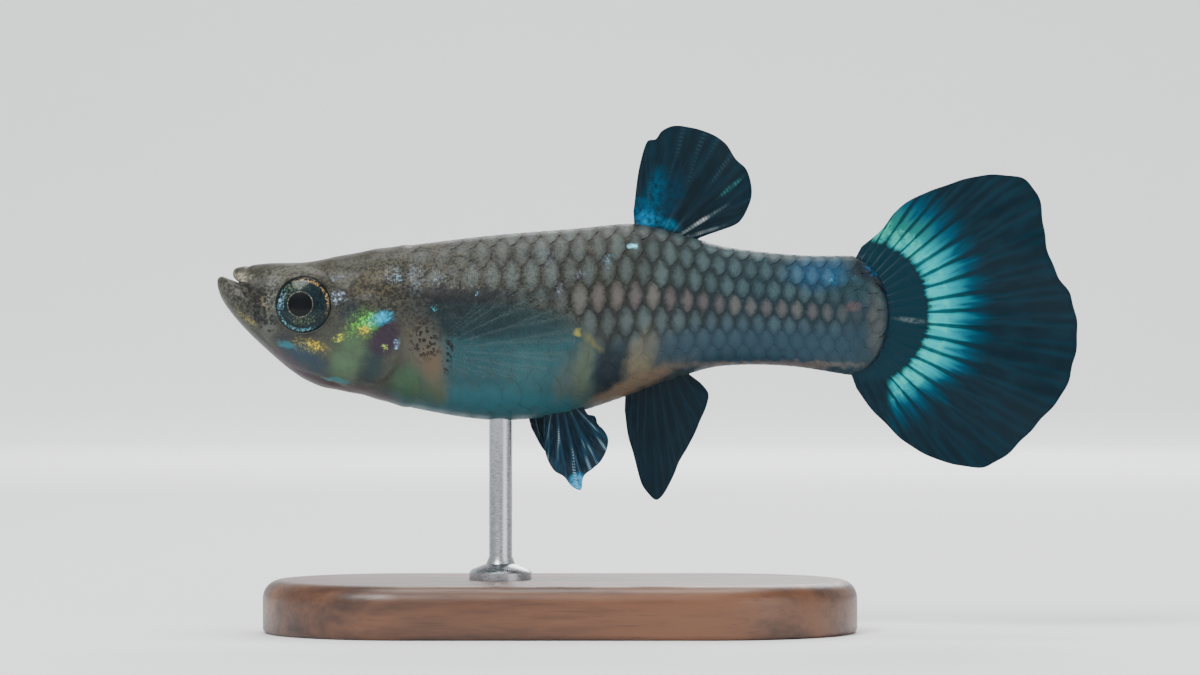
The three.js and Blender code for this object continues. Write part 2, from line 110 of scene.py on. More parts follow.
@dataclass(frozen=True)
class BodyForm:
    """The outline and sections of the body, as the solids have them."""

    back: Line = Line(
        (0, 1.75), (0.15, 2.3), (0.6, 2.6), (1.15, 2.72), (3.3, 2.97), (5.6, 3.05), (7.45, 3.42),
        (11.1, 4.06), (16, 4.65), (22, 5.15), (25.2, 5.42), (27, 5.1), (29.1, 4.5), (30.9, 4.0),
        (35.3, 3.52), (38.3, 3.48))
    belly: Line = Line(
        (0, 1.4), (0.15, 1.0), (0.42, 0.6), (1.15, -0.4), (3.7, -2.9), (5.03, -3.92), (6.24, -4.5),
        (8.7, -5.02), (12.3, -6.02), (16.5, -6.62), (20, -6.46), (22, -6.1), (24.4, -5.32),
        (28.4, -3.9), (30.5, -3.36), (34.5, -3.34), (38.3, -3.9))
    half: Line = Line(
        (0, 0.45), (0.15, 0.85), (0.6, 1.2), (1.2, 1.5), (2.2, 1.9), (3.7, 2.3), (5.3, 2.55),
        (7, 2.8), (9, 3.02), (11.5, 3.2), (14, 3.35), (17, 3.4), (20, 3.3), (23, 2.95), (26, 2.42),
        (29, 1.98), (32, 1.66), (35, 1.38), (38.3, 1.0))
    waist: Line = Line(
        (0, 1.6), (1.2, 1.0), (3.7, 0.2), (6, -0.3), (9, -0.6), (14, -1.1), (20, -0.9), (26, 0.1),
        (32, 0.2), (38.3, -0.18))
    upper_power: Line = Line((0, 2.2), (3, 2.9), (7, 2.8), (14, 2.2), (24, 2.0), (38.3, 2.3))
    lower_power: Line = Line((0, 2.2), (3, 2.0), (8, 1.9), (16, 2.15), (24, 1.9), (38.3, 2.2))
    arc_start: float = 38.3
    arc_length: float = 2.42
    arc_middle: float = -0.18
    end_width: float = 0.25
    sway_start: float = 28.0
    sway_length: float = 24.0
    sway_reach: float = -1.1
    ripple_start: float = 42.0
    ripple_length: float = 10.0
    ripple_reach: float = 0.32
    ripple_wave: float = 8.5
    ripple_slant: float = 0.4

    @property
    def end(self) -> float:
        """The station where the scaled tail stem ends."""
        return self.arc_start + self.arc_length

    def sizes(self, x: np.ndarray, out: np.ndarray) -> tuple[np.ndarray, ...]:
        """Returns top, bottom, half width and waist at x, set outwards by a distance."""
        past = np.clip((x - self.arc_start) / self.arc_length, 0, 1)
        keep = np.sqrt(1 - past * past)
        top = self.arc_middle + (self.back(x) - self.arc_middle) * keep
        bottom = self.arc_middle + (self.belly(x) - self.arc_middle) * keep
        half = self.half(x) * (self.end_width + (1 - self.end_width) * keep)
        middle = (top + bottom) / 2
        return (np.maximum(top + out, middle), np.minimum(bottom - out, middle),
                np.maximum(half + out, 0.02), np.clip(self.waist(x), bottom, top))

    def section(self, x: np.ndarray, angle: np.ndarray, out: np.ndarray) -> np.ndarray:
        """Returns points on the body, before the tail's sway.

        Args:
            x: Station along the body.
            angle: Way round the section in radians, 0 at the right and up at a quarter turn.
            out: Distance outside the solid's surface, less than 0 inside it.

        Returns:
            An array of points, one row for each station.
        """
        top, bottom, half, waist = self.sizes(x, out)
        across, up = np.cos(angle), np.sin(angle)
        power = np.where(up >= 0, 2 / self.upper_power(x), 2 / self.lower_power(x))
        reach = np.where(up >= 0, top - waist, bottom - waist)
        y = half * np.sign(across) * np.abs(across) ** power
        return np.stack([x + 0 * y, y, waist + reach * np.abs(up) ** power], axis=-1)

    def sway(self, points: np.ndarray) -> np.ndarray:
        """Bends points of the tail sideways, more the further back they are."""
        x, z = points[..., 0], points[..., 2]
        back = np.maximum((x - self.sway_start) / self.sway_length, 0)
        loose = np.maximum((x - self.ripple_start) / self.ripple_length, 0)
        wave = np.sin(2 * np.pi * (z + self.ripple_slant * x) / self.ripple_wave)
        moved = points.copy()
        moved[..., 1] += self.sway_reach * back * back + self.ripple_reach * loose * wave
        return moved


FORM = BodyForm()


@dataclass(frozen=True)
class EyeSeat:
    """Where the eyes sit, and the slanted plane of the socket's rim."""

    x: float = 5.38
    z: float = 0.42
    radius: float = 1.70
    rim_reach: float = 2.42
    lean_back: float = 0.15
    lean_down: float = -0.05

    def distance(self, points: np.ndarray) -> np.ndarray:
        """Returns how far points are from the middle of the eye, seen from the side."""
        return np.hypot(points[..., 0] - self.x, points[..., 2] - self.z)

    def rim_plane(self, points: np.ndarray) -> np.ndarray:
        """Returns how far out the rim's plane lies at each point."""
        lean = self.lean_back * (points[..., 0] - self.x) + self.lean_down * (points[..., 2] - self.z)
        return self.rim_reach + lean


SEAT = EyeSeat()


def sided(name: str, side: int) -> str:
    """Returns a piece's name for one side."""
    return f"{name}_{'left' if side == LEFT else 'right'}"


def deselect() -> None:
    """Leaves edit mode and deselects everything."""
    if bpy.context.object and bpy.context.object.mode != "OBJECT":
        bpy.ops.object.mode_set(mode="OBJECT")
    bpy.ops.object.select_all(action="DESELECT")


def named(name: str) -> bpy.types.Object:
    """Names the primitive that was just added and returns it."""
    piece = bpy.context.object
    piece.name = name
    piece.data.name = name
    return piece


@contextmanager
def editing(piece: bpy.types.Object) -> Iterator[None]:
    """Opens a piece in edit mode with all of it selected, and leaves it again."""
    deselect()
    bpy.context.view_layer.objects.active = piece
    piece.select_set(True)
    bpy.ops.object.mode_set(mode="EDIT")
    bpy.ops.mesh.select_all(action="SELECT")
    yield
    bpy.ops.object.mode_set(mode="OBJECT")


def points_of(piece: bpy.types.Object) -> np.ndarray:
    """Returns a mesh's vertices as rows of x, y, z."""
    flat = np.empty(len(piece.data.vertices) * 3)
    piece.data.vertices.foreach_get("co", flat)
    return flat.reshape(-1, 3)


def normals_of(piece: bpy.types.Object) -> np.ndarray:
    """Returns a mesh's vertex normals as rows of x, y, z."""
    flat = np.empty(len(piece.data.vertices) * 3)
    piece.data.vertices.foreach_get("normal", flat)
    return flat.reshape(-1, 3)


def place_points(piece: bpy.types.Object, points: np.ndarray) -> None:
    """Moves a mesh's vertices to the points given."""
    piece.data.vertices.foreach_set("co", np.ascontiguousarray(points, float).ravel())
    piece.data.update()


def smooth(piece: bpy.types.Object, degrees: float = 180.0) -> None:
    """Shades a piece smooth up to an angle between its faces."""
    deselect()
    bpy.context.view_layer.objects.active = piece
    piece.select_set(True)
    if degrees >= 180:
        bpy.ops.object.shade_smooth()
    else:
        bpy.ops.object.shade_smooth_by_angle(angle=math.radians(degrees))


def apply_modifier(piece: bpy.types.Object, kind: str, **settings: object) -> None:
    """Adds a modifier with its settings to a piece and applies it."""
    deselect()
    bpy.context.view_layer.objects.active = piece
    piece.select_set(True)
    modifier = piece.modifiers.new(kind.title(), kind)
    for name, value in settings.items():
        setattr(modifier, name, value)
    bpy.ops.object.modifier_apply(modifier=modifier.name)


def merged_outward(piece: bpy.types.Object) -> None:
    """Merges doubled vertices and turns the faces outwards."""
    with editing(piece):
        bpy.ops.mesh.remove_doubles(threshold=MERGE_DISTANCE)
        bpy.ops.mesh.normals_make_consistent(inside=False)


def set_map(piece: bpy.types.Object, name: str, corners: np.ndarray) -> None:
    """Writes a UV map from one row of u, v for each face corner."""
    layers = piece.data.uv_layers
    layer = layers.get(name) or layers.new(name=name)
    layer.data.foreach_set("uv", np.ascontiguousarray(corners, float).ravel())


def corner_vertices(piece: bpy.types.Object) -> np.ndarray:
    """Returns the vertex of each face corner."""
    found = np.empty(len(piece.data.loops), np.int32)
    piece.data.loops.foreach_get("vertex_index", found)
    return found


def set_value(piece: bpy.types.Object, name: str, values: np.ndarray) -> None:
    """Writes one number for each vertex, to be read by the materials."""
    attribute = piece.data.attributes.new(name, "FLOAT", "POINT")
    attribute.data.foreach_set("value", np.ascontiguousarray(values, float))


def grid(name: str, columns: int, rows: int) -> tuple[bpy.types.Object, np.ndarray, np.ndarray]:
    """Adds a flat grid and returns it with each vertex's u and v from 0 to 1."""
    deselect()
    bpy.ops.mesh.primitive_grid_add(x_subdivisions=columns, y_subdivisions=rows, size=2)
    piece = named(name)
    flat = points_of(piece)
    return piece, (flat[:, 0] + 1) / 2, (flat[:, 1] + 1) / 2


def finish_piece(piece: bpy.types.Object, material: bpy.types.Material, slot: str,
                 *nodes: str) -> bpy.types.Object:
    """Dresses a piece, rides it on the body and lets it stand for its solids.

    Args:
        piece: The finished mesh.
        material: Its material.
        slot: Not used.
        nodes: The solids that it stands for.

    Returns:
        The piece.
    """
    piece.data.materials.clear()
    piece.data.materials.append(material)
    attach(piece, "root")
    if nodes:
        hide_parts(*nodes)
    LOG.info("%s: %d faces", piece.name, len(piece.data.polygons))
    return piece


class Brush:
    """Writes shader nodes into one node tree in short calls."""

    def __init__(self, tree: bpy.types.NodeTree) -> None:
        """Keeps the tree that it writes in."""
        self.tree = tree

    def feed(self, socket: Socket, value: object) -> None:
        """Links a socket to another, or sets its value."""
        if isinstance(value, bpy.types.NodeSocket):
            self.tree.links.new(value, socket)
        else:
            socket.default_value = value

    def node(self, kind: str, inputs: dict | None = None, **settings: object) -> bpy.types.Node:
        """Adds a node.

        Args:
            kind: The node's type, without its Shader or ShaderNode prefix.
            inputs: Values or sockets for its inputs, by name or number.
            settings: Its other settings.

        Returns:
            The node.
        """
        node = self.tree.nodes.new("ShaderNode" + kind)
        for name, value in settings.items():
            setattr(node, name, value)
        for key, value in (inputs or {}).items():
            self.feed(node.inputs[key], value)
        return node

    def math(self, operation: str, first: object, second: object = 0.0) -> Socket:
        """Returns the result of a sum on one or two numbers."""
        return self.node("Math", {0: first, 1: second}, operation=operation).outputs[0]

    def times(self, *factors: object) -> Socket:
        """Returns the product of two or more numbers."""
        product = factors[0]
        for factor in factors[1:]:
            product = self.math("MULTIPLY", product, factor)
        return product

    def plus(self, first: object, second: object) -> Socket:
        """Returns the sum of two numbers."""
        return self.math("ADD", first, second)

    def minus(self, first: object, second: object) -> Socket:
        """Returns the first number less the second."""
        return self.math("SUBTRACT", first, second)

    def vector(self, operation: str, first: object, second: object = (0, 0, 0)) -> Socket:
        """Returns the result of a sum on one or two vectors."""
        return self.node("VectorMath", {0: first, 1: second}, operation=operation).outputs[0]

    def length(self, vector: object) -> Socket:
        """Returns how long a vector is."""
        return self.node("VectorMath", {0: vector}, operation="LENGTH").outputs["Value"]

    def mix(self, factor: object, under: object, over: object, mode: str = "MIX") -> Socket:
        """Lays one colour over another."""
        inputs = {0: factor, 6: under, 7: over}
        return self.node("Mix", inputs, data_type="RGBA", blend_type=mode).outputs[2]

    def between(self, value: object, low: float, high: float, first: float = 0.0,
                last: float = 1.0) -> Socket:
        """Goes smoothly from first to last as a value goes from low to high."""
        inputs = {0: value, 1: low, 2: high, 3: first, 4: last}
        return self.node("MapRange", inputs, interpolation_type="SMOOTHSTEP").outputs[0]

    def band(self, value: object, low: float, high: float, soft: float) -> Socket:
        """Is 1 from low to high and falls to 0 over a soft distance outside them."""
        rise = self.between(value, low - soft, low)
        fall = self.between(value, high, high + soft, 1.0, 0.0)
        return self.times(rise, fall)

    def noise(self, place: object, scale: float, detail: float = 2.0, rough: float = 0.5) -> Socket:
        """Returns cloudy noise from 0 to 1."""
        inputs = {"Vector": place, "Scale": scale, "Detail": detail, "Roughness": rough}
        return self.node("TexNoise", inputs).outputs[0]

    def cells(self, place: object, scale: float, output: str = "Distance") -> Socket:
        """Returns the distance to scattered points, or their colours."""
        return self.node("TexVoronoi", {"Vector": place, "Scale": scale}).outputs[output]

    def bump(self, height: object, strength: float, distance: float) -> Socket:
        """Returns a normal pushed about by a height."""
        inputs = {"Height": height, "Strength": strength, "Distance": distance}
        return self.node("Bump", inputs).outputs[0]

    def group(self, tree: bpy.types.NodeTree, inputs: dict) -> bpy.types.Node:
        """Places a node group with its inputs."""
        node = self.tree.nodes.new("ShaderNodeGroup")
        node.node_tree = tree
        for key, value in inputs.items():
            self.feed(node.inputs[key], value)
        return node

    def fish_place(self) -> Socket:
        """Returns the surface's place in the fish's frame, in millimetres."""
        coordinates = self.node("TexCoord").outputs["Object"]
        inputs = {0: coordinates, 1: (JAW_TIP_TO_ORIGIN, 0, -AXIS_HEIGHT), 3: (1000, 1000, 1000)}
        return self.node("Mapping", inputs).outputs[0]

    def axes(self, place: object) -> bpy.types.bpy_prop_collection:
        """Returns the sockets X, Y and Z of a vector."""
        return self.node("SeparateXYZ", {0: place}).outputs

    def value(self, name: str) -> Socket:
        """Returns a number that the mesh carries."""
        return self.node("Attribute", attribute_name=name).outputs["Fac"]

    def jitter(self, place: object, amount: tuple[float, float, float], scale: float,
               detail: float = 2.0, rough: float = 0.5) -> Socket:
        """Returns a cloudy shift of up to half an amount either way."""
        inputs = {"Vector": place, "Scale": scale, "Detail": detail, "Roughness": rough}
        cloud = self.node("TexNoise", inputs).outputs[1]
        return self.vector("MULTIPLY", self.vector("SUBTRACT", cloud, (0.5, 0.5, 0.5)), amount)

    def oval(self, spot: bpy.types.NodeTree, place: object, middle: Point, reach: Point,
             turn: float, soft: float) -> Socket:
        """Masks a turned oval in the side view.

        Args:
            spot: The soft spot group.
            place: Place in the fish's frame.
            middle: Its middle, x and z.
            reach: Its half length and half height.
            turn: How far it is turned, in degrees.
            soft: How soft its edge is.

        Returns:
            1 inside the oval, falling to 0 outside it.
        """
        inputs = {"Place": place, "Centre": (middle[0], 0, middle[1]), "Reach": (reach[0], 1, reach[1]),
                  "Turn": math.radians(turn), "Soft": soft}
        return self.group(spot, inputs).outputs[0]


def new_group(name: str, inputs: dict[str, str], outputs: dict[str, str]) -> tuple:
    """Makes an empty node group.

    Args:
        name: The group's name.
        inputs: Kinds of its inputs by name.
        outputs: Kinds of its outputs by name.

    Returns:
        The group's brush, its input node's sockets and its output node's sockets.
    """
    tree = bpy.data.node_groups.new(name, "ShaderNodeTree")
    for side, sockets in (("INPUT", inputs), ("OUTPUT", outputs)):
        for label, kind in sockets.items():
            tree.interface.new_socket(label, in_out=side, socket_type="NodeSocket" + kind)
    source = tree.nodes.new("NodeGroupInput").outputs
    target = tree.nodes.new("NodeGroupOutput").inputs
    return Brush(tree), source, target


def soft_spot_group() -> bpy.types.NodeTree:
    """Makes the group that masks a turned oval in the side view."""
    inputs = {"Place": "Vector", "Centre": "Vector", "Reach": "Vector", "Turn": "Float", "Soft": "Float"}
    brush, source, target = new_group("soft_spot", inputs, {"Mask": "Float"})
    away = brush.vector("SUBTRACT", source["Place"], source["Centre"])
    turned = brush.node("VectorRotate", {"Vector": away, "Angle": source["Turn"]}, rotation_type="Y_AXIS")
    flat = brush.vector("MULTIPLY", turned.outputs[0], (1, 0, 1))
    share = brush.length(brush.vector("DIVIDE", flat, source["Reach"]))
    inner = brush.minus(1.0, source["Soft"])
    outer = brush.plus(1.0, source["Soft"])
    fall = brush.node("MapRange", {0: share, 1: outer, 2: inner}, interpolation_type="SMOOTHSTEP")
    brush.feed(target["Mask"], fall.outputs[0])
    return brush.tree


def speckle_group() -> bpy.types.NodeTree:
    """Makes the group of fine dark pigment dots of uneven size."""
    inputs = {"Place": "Vector", "Per millimetre": "Float", "Share": "Float"}
    brush, source, target = new_group("pigment_dots", inputs, {"Mask": "Float"})
    near = brush.node("TexVoronoi", {"Vector": source["Place"], "Scale": source["Per millimetre"]})
    odds = brush.node("SeparateColor", {0: near.outputs["Color"]}).outputs[0]
    size = brush.times(odds, source["Share"])
    gap = brush.minus(size, near.outputs["Distance"])
    brush.feed(target["Mask"], brush.between(gap, -0.03, 0.07))
    return brush.tree


class Kind(Enum):
    """How a marking breaks up: plain pigment, glittering flecks or separate dots."""

    PIGMENT = "pigment"
    FLECK = "fleck"
    DOTS = "dots"


@dataclass(frozen=True)
class Marking:
    """A patch of colour on both flanks: a turned oval in the side view, in millimetres."""

    x: float
    z: float
    long: float
    tall: float
    turn: float
    tone: Colour
    strength: float = 1.0
    kind: Kind = Kind.PIGMENT
    soft: float = 0.45

    def mask(self, brush: Brush, spot: bpy.types.NodeTree, place: Socket) -> Socket:
        """Masks the marking's oval."""
        return brush.oval(spot, place, (self.x, self.z), (self.long, self.tall), self.turn, self.soft)


def marking_of(kind: Kind) -> Callable[..., Marking]:
    """Returns a maker of markings of one kind, whose tone is in screen values."""

    def make(x: float, z: float, long: float, tall: float, turn: float,
             tone: tuple[float, float, float], strength: float = 1.0, soft: float = 0.45) -> Marking:
        """Makes one marking."""
        return Marking(x, z, long, tall, turn, colour(*tone), strength, kind, soft)

    return make


pigment, flecks, dots = (marking_of(kind) for kind in Kind)

BASE_MARKINGS = (
    # Belly and flank
    pigment(17.9, -3.0, 5.2, 2.9, -3, (40, 100, 108), 0.97, 0.3),
    pigment(16.8, -5.8, 6.6, 1.2, -3, (60, 132, 144), 0.85),
    pigment(19.0, -3.6, 1.6, 1.3, 20, (64, 126, 132), 0.6, 0.8),
    pigment(15.3, -0.3, 3.2, 1.4, -4, (14, 50, 58), 0.92, 0.35),
    pigment(18.6, -0.6, 2.6, 1.1, -8, (30, 62, 68), 0.7),
    pigment(15.2, 1.05, 3.9, 0.45, -2, (32, 38, 42), 0.8, 0.4),
    dots(15.0, 1.45, 3.6, 0.09, -1, (140, 132, 112), 0.55, 0.5),
    pigment(22.2, -3.4, 0.6, 1.8, -10, (112, 126, 100), 0.75),
    pigment(21.1, -4.1, 0.6, 1.4, -20, (112, 118, 104), 0.45),
    pigment(23.9, -3.1, 0.9, 1.8, -20, (0, 38, 52), 1.0, 0.45),
    pigment(25.8, -2.5, 0.8, 1.5, -20, (146, 136, 106), 0.95, 0.5),
    pigment(25.4, -4.3, 3.2, 0.42, 25, (146, 126, 104), 0.85),
    pigment(21.85, -1.25, 0.25, 0.2, 0, (214, 206, 96), 0.9, 0.6),
    pigment(22.8, -1.85, 0.7, 0.2, -40, (150, 148, 84), 0.6, 0.8),
    pigment(32.5, -2.0, 6.4, 1.4, 1, (40, 82, 102), 0.85),
    pigment(33.5, -3.2, 5.4, 0.22, 0, (142, 128, 118), 0.7, 0.5),
    pigment(36.4, 2.35, 1.7, 0.9, 0, (0, 112, 160), 0.85, 0.6),
    flecks(37.3, 1.95, 0.3, 0.36, 20, (60, 180, 225), 0.95),
    pigment(38.5, 0.35, 0.5, 0.35, 0, (140, 112, 116), 0.6),
    pigment(39.9, -0.7, 0.5, 1.9, 0, (102, 104, 98), 0.7, 0.7),
    pigment(12.6, -2.3, 1.2, 2.0, 8, (112, 106, 90), 0.8, 0.5),
    pigment(13.4, -4.5, 0.6, 1.0, 12, (120, 122, 94), 0.75, 0.6),
    pigment(13.1, -3.0, 0.6, 0.95, 10, (134, 110, 84), 0.75, 0.7),
    pigment(11.6, -4.2, 0.9, 0.9, 20, (76, 122, 88), 0.8, 0.6),
    pigment(12.7, -5.0, 1.1, 0.6, -10, (92, 112, 82), 0.6),
    # Cheek and gill cover
    pigment(8.15, -2.6, 1.0, 1.3, -30, (98, 132, 96), 0.85, 0.6),
    pigment(7.7, -3.5, 0.7, 0.8, -10, (110, 144, 106), 0.7, 0.7),
    pigment(5.4, -2.7, 1.6, 0.75, -32, (44, 78, 98), 0.8, 0.5),
    pigment(9.5, -3.2, 0.7, 1.2, -24, (34, 70, 76), 0.75, 0.5),
    pigment(10.3, -1.5, 0.85, 1.15, -30, (62, 42, 66), 0.9, 0.4),
    pigment(4.9, -3.5, 2.1, 0.45, -37, (92, 70, 82), 0.75),
    pigment(8.6, -4.8, 2.6, 0.4, -14, (98, 80, 82), 0.75),
    pigment(8.3, 0.0, 0.7, 0.75, 20, (54, 72, 80), 0.6),
    pigment(9.9, 1.75, 1.9, 0.8, 8, (124, 112, 80), 0.55),
    pigment(3.5, 0.45, 0.5, 1.7, -8, (150, 152, 140), 0.85, 0.5),
    pigment(4.6, 2.35, 1.5, 0.35, 12, (134, 134, 118), 0.6, 0.6),
    pigment(3.0, 0.5, 0.11, 0.5, 22, (190, 172, 126), 0.6, 0.6),
    pigment(2.5, 1.25, 0.45, 0.6, -20, (50, 52, 50), 0.5, 0.8),
    pigment(3.1, -0.3, 0.8, 0.4, -35, (50, 52, 52), 0.5, 0.8),
    pigment(5.0, -1.55, 1.2, 0.25, 2, (40, 42, 46), 0.6, 0.6),
    pigment(1.65, 2.12, 0.6, 0.24, -4, (196, 190, 164), 0.85, 0.6),
    pigment(0.9, 1.3, 0.7, 0.5, -50, (134, 134, 122), 0.6, 0.7),
    pigment(4.4, -2.05, 0.6, 0.15, -24, (48, 150, 168), 0.8, 0.6),
    pigment(7.3, -4.15, 0.8, 0.13, -14, (64, 160, 166), 0.75, 0.6),
)

GLITTER = (
    flecks(1.9, -0.4, 0.7, 0.18, -42, (164, 152, 70), 0.7, 0.7),
    pigment(1.5, 2.05, 0.55, 0.18, -6, (140, 136, 116), 0.85, 0.6),
    flecks(5.85, -2.05, 0.95, 0.36, -14, (148, 140, 62), 0.7, 0.7),
    flecks(6.1, -2.05, 0.4, 0.24, -20, (214, 184, 10), 1.0, 0.7),
    flecks(7.45, 0.9, 0.36, 0.32, 0, (188, 208, 240), 0.9, 0.7),
    flecks(7.4, 2.0, 0.5, 0.14, 8, (128, 148, 166), 0.5, 0.8),
    flecks(10.95, 2.15, 0.5, 0.42, 0, (140, 160, 176), 0.6, 0.8),
    flecks(11.1, 2.05, 0.14, 0.14, 0, (120, 200, 235), 0.9, 0.7),
    flecks(11.05, -1.95, 0.2, 0.28, 0, (130, 180, 226), 0.9),
    pigment(10.15, -0.38, 0.6, 0.3, 18, (0, 132, 172), 0.85, 0.6),
    pigment(9.3, -0.75, 0.6, 0.4, 34, (40, 130, 60), 0.6, 0.7),
    flecks(8.9, -0.75, 0.95, 0.66, 36, (92, 168, 50), 0.8, 0.7),
    flecks(9.35, -0.55, 0.5, 0.42, 30, (96, 214, 84), 0.95, 0.6),
    flecks(10.1, -0.40, 0.72, 0.36, 18, (0, 156, 188), 1.0, 0.6),
    flecks(10.3, -0.3, 0.4, 0.24, 24, (0, 186, 220), 1.0, 0.6),
    flecks(9.1, -1.12, 0.34, 0.24, 24, (226, 182, 0), 1.0, 0.7),
    flecks(7.6, -1.55, 0.4, 0.17, 28, (206, 220, 20), 0.9, 0.7),
    flecks(10.3, -2.15, 0.14, 0.18, 0, (190, 224, 90), 0.9),
    flecks(12.1, 2.1, 0.5, 0.8, 0, (140, 160, 174), 0.4, 0.8),
    flecks(13.5, 2.0, 0.35, 0.35, 0, (150, 170, 184), 0.5, 0.8),
    flecks(20.1, 3.3, 0.3, 0.4, 0, (140, 162, 176), 0.5, 0.8),
    flecks(23.7, 3.1, 0.22, 0.4, 0, (130, 180, 200), 0.6, 0.8),
    flecks(20.7, 1.4, 0.22, 0.3, 0, (170, 190, 210), 0.6, 0.8),
    flecks(22.0, 2.2, 0.22, 0.3, 0, (160, 170, 200), 0.5, 0.8),
    flecks(15.9, 1.1, 0.12, 0.12, 0, (120, 200, 230), 0.9),
    flecks(13.3, 0.2, 0.12, 0.1, 0, (60, 190, 200), 0.9),
    pigment(25.25, 3.95, 0.28, 0.14, -14, (140, 244, 255), 1.0),
    flecks(39.8, 2.7, 0.5, 0.45, -30, (0, 96, 150), 0.9, 0.7),
)

DARK_DOTS = (
    dots(12.75, -1.7, 0.9, 1.1, 0, (20, 22, 26), 0.9),
    dots(14.15, -2.3, 0.28, 1.5, -10, (20, 22, 26), 0.9),
    dots(2.4, 0.9, 1.3, 1.3, 0, (24, 26, 28), 0.8),
    dots(3.0, -0.5, 1.3, 0.6, -40, (20, 22, 26), 0.8),
    dots(9.5, 1.4, 2.6, 1.5, 0, (24, 26, 28), 0.6),
)


@dataclass(frozen=True)
class BodyPattern:
    """The colours that the skin and the scales over it share."""

    nape: Colour = colour(118, 116, 98)
    tail_back: Colour = colour(46, 102, 118)
    flank: Colour = colour(106, 110, 102)
    tail_flank: Colour = colour(46, 90, 110)
    dark_dot: Colour = colour(12, 14, 16)
    stem_end: Colour = colour(2, 18, 28)
    stem_height: float = 3.75
    depth: Colour = (0.42, 0.42, 0.43, 1.0)
    clouds: tuple[Colour, Colour] = (colour(40, 44, 44), colour(210, 204, 186))
    grain: tuple[Colour, Colour] = (colour(88, 86, 84), colour(172, 172, 166))

    def stem_ending(self, brush: Brush, place: Socket) -> Socket:
        """Masks the end of the tail stem, further forward near its top."""
        away = brush.vector("SUBTRACT", place, (FORM.arc_start, 0, FORM.arc_middle))
        shares = brush.vector("DIVIDE", away, (FORM.arc_length, NO_REACH, self.stem_height))
        height = brush.axes(place)["Z"]
        reach = brush.plus(brush.length(shares), brush.between(height, 0.4, 3.2, 0.0, 0.45))
        behind = brush.between(brush.axes(place)["X"], 37.6, 39.2)
        return brush.times(brush.between(reach, 0.86, 1.08), behind, 0.95)

    def ground(self, brush: Brush, place: Socket) -> Socket:
        """Returns the cloudy ground colour, olive in front and blue grey behind."""
        axes = brush.axes(place)
        rearward = brush.between(axes["X"], 21.0, 34.0)
        upward = brush.between(axes["Z"], -1.0, 2.6)
        back = brush.mix(rearward, self.nape, self.tail_back)
        side = brush.mix(rearward, self.flank, self.tail_flank)
        paint = brush.mix(upward, side, back)
        clouds = brush.mix(brush.noise(place, 0.9, 4.0, 0.6), *self.clouds)
        paint = brush.mix(0.5, paint, clouds, "OVERLAY")
        grain = brush.between(brush.noise(place, 7.0, 4.0, 0.75), 0.3, 0.7)
        return brush.mix(0.55, paint, brush.mix(grain, *self.grain), "OVERLAY")

    def breaks(self, brush: Brush, place: Socket, specks: bpy.types.NodeTree) -> dict[Kind, Socket]:
        """Returns how each kind of marking is broken up."""
        crystals = brush.node("SeparateColor", {0: brush.cells(place, 8.5, "Color")}).outputs[0]
        sparkle = brush.times(brush.between(brush.noise(place, 5.5, 4.0, 0.75), 0.46, 0.57),
                              brush.between(crystals, 0.2, 0.7, 0.2, 1.0))
        coarse = brush.group(specks, {"Place": place, "Per millimetre": 4.8, "Share": 0.85}).outputs[0]
        return {Kind.PIGMENT: brush.between(brush.noise(place, 2.2, 6.0, 0.7), 0.28, 0.55, 0.55, 1.0),
                Kind.FLECK: brush.between(sparkle, 0.0, 0.9, 0.08, 1.0),
                Kind.DOTS: brush.between(coarse, 0.2, 0.7)}

    def group(self) -> bpy.types.NodeTree:
        """Makes the node group that gives the body's colour, dots and glitter."""
        spot = soft_spot_group()
        specks = speckle_group()
        brush, source, target = new_group(
            "guppy_markings", {"Place": "Vector"}, {"Colour": "Color", "Glitter": "Float", "Dots": "Float"})
        place = source["Place"]
        wandering = brush.vector("ADD", place, brush.jitter(place, (0.7, 0, 0.7), 1.4))
        ragged = brush.vector("ADD", place, brush.jitter(place, (0.9, 0, 0.9), 3.6, 4.0, 0.7))
        paint = self.ground(brush, place)
        breaks = self.breaks(brush, place, specks)
        glitter: Socket | float = 0.0
        for marking in BASE_MARKINGS + DARK_DOTS + GLITTER:
            if marking is GLITTER[0]:
                paint = brush.mix(1.0, paint, self.depth, "MULTIPLY")
                paint = brush.mix(self.stem_ending(brush, ragged), paint, self.stem_end)
            where = ragged if marking.kind is Kind.FLECK else wandering
            mask = brush.times(marking.mask(brush, spot, where), breaks[marking.kind], marking.strength)
            paint = brush.mix(mask, paint, marking.tone)
            if marking.kind is Kind.FLECK:
                glitter = brush.math("MAXIMUM", glitter, mask)
        axes = brush.axes(place)
        fine = brush.group(specks, {"Place": place, "Per millimetre": 7.0, "Share": 0.92}).outputs[0]
        spread = brush.times(brush.between(axes["Z"], -2.2, 1.0),
                             brush.between(axes["X"], 19.0, 27.0, 1.0, 0.25),
                             brush.between(axes["X"], 7.5, 11.5, 0.8, 1.0))
        dotted = brush.times(fine, spread, brush.minus(1.0, glitter))
        paint = brush.mix(brush.times(dotted, 0.8), paint, self.dark_dot)
        for name, value in (("Colour", paint), ("Glitter", glitter), ("Dots", dotted)):
            brush.feed(target[name], value)
        return brush.tree


@dataclass(frozen=True)
class Gloss:
    """How wet a surface looks."""

    mirror: float
    coat: float
    coat_roughness: float

    def dress(self, shader: bpy.types.Node) -> None:
        """Sets the shader's own sockets."""
        shader.inputs["Specular IOR Level"].default_value = self.mirror
        shader.inputs["Coat Weight"].default_value = self.coat
        shader.inputs["Coat Roughness"].default_value = self.coat_roughness


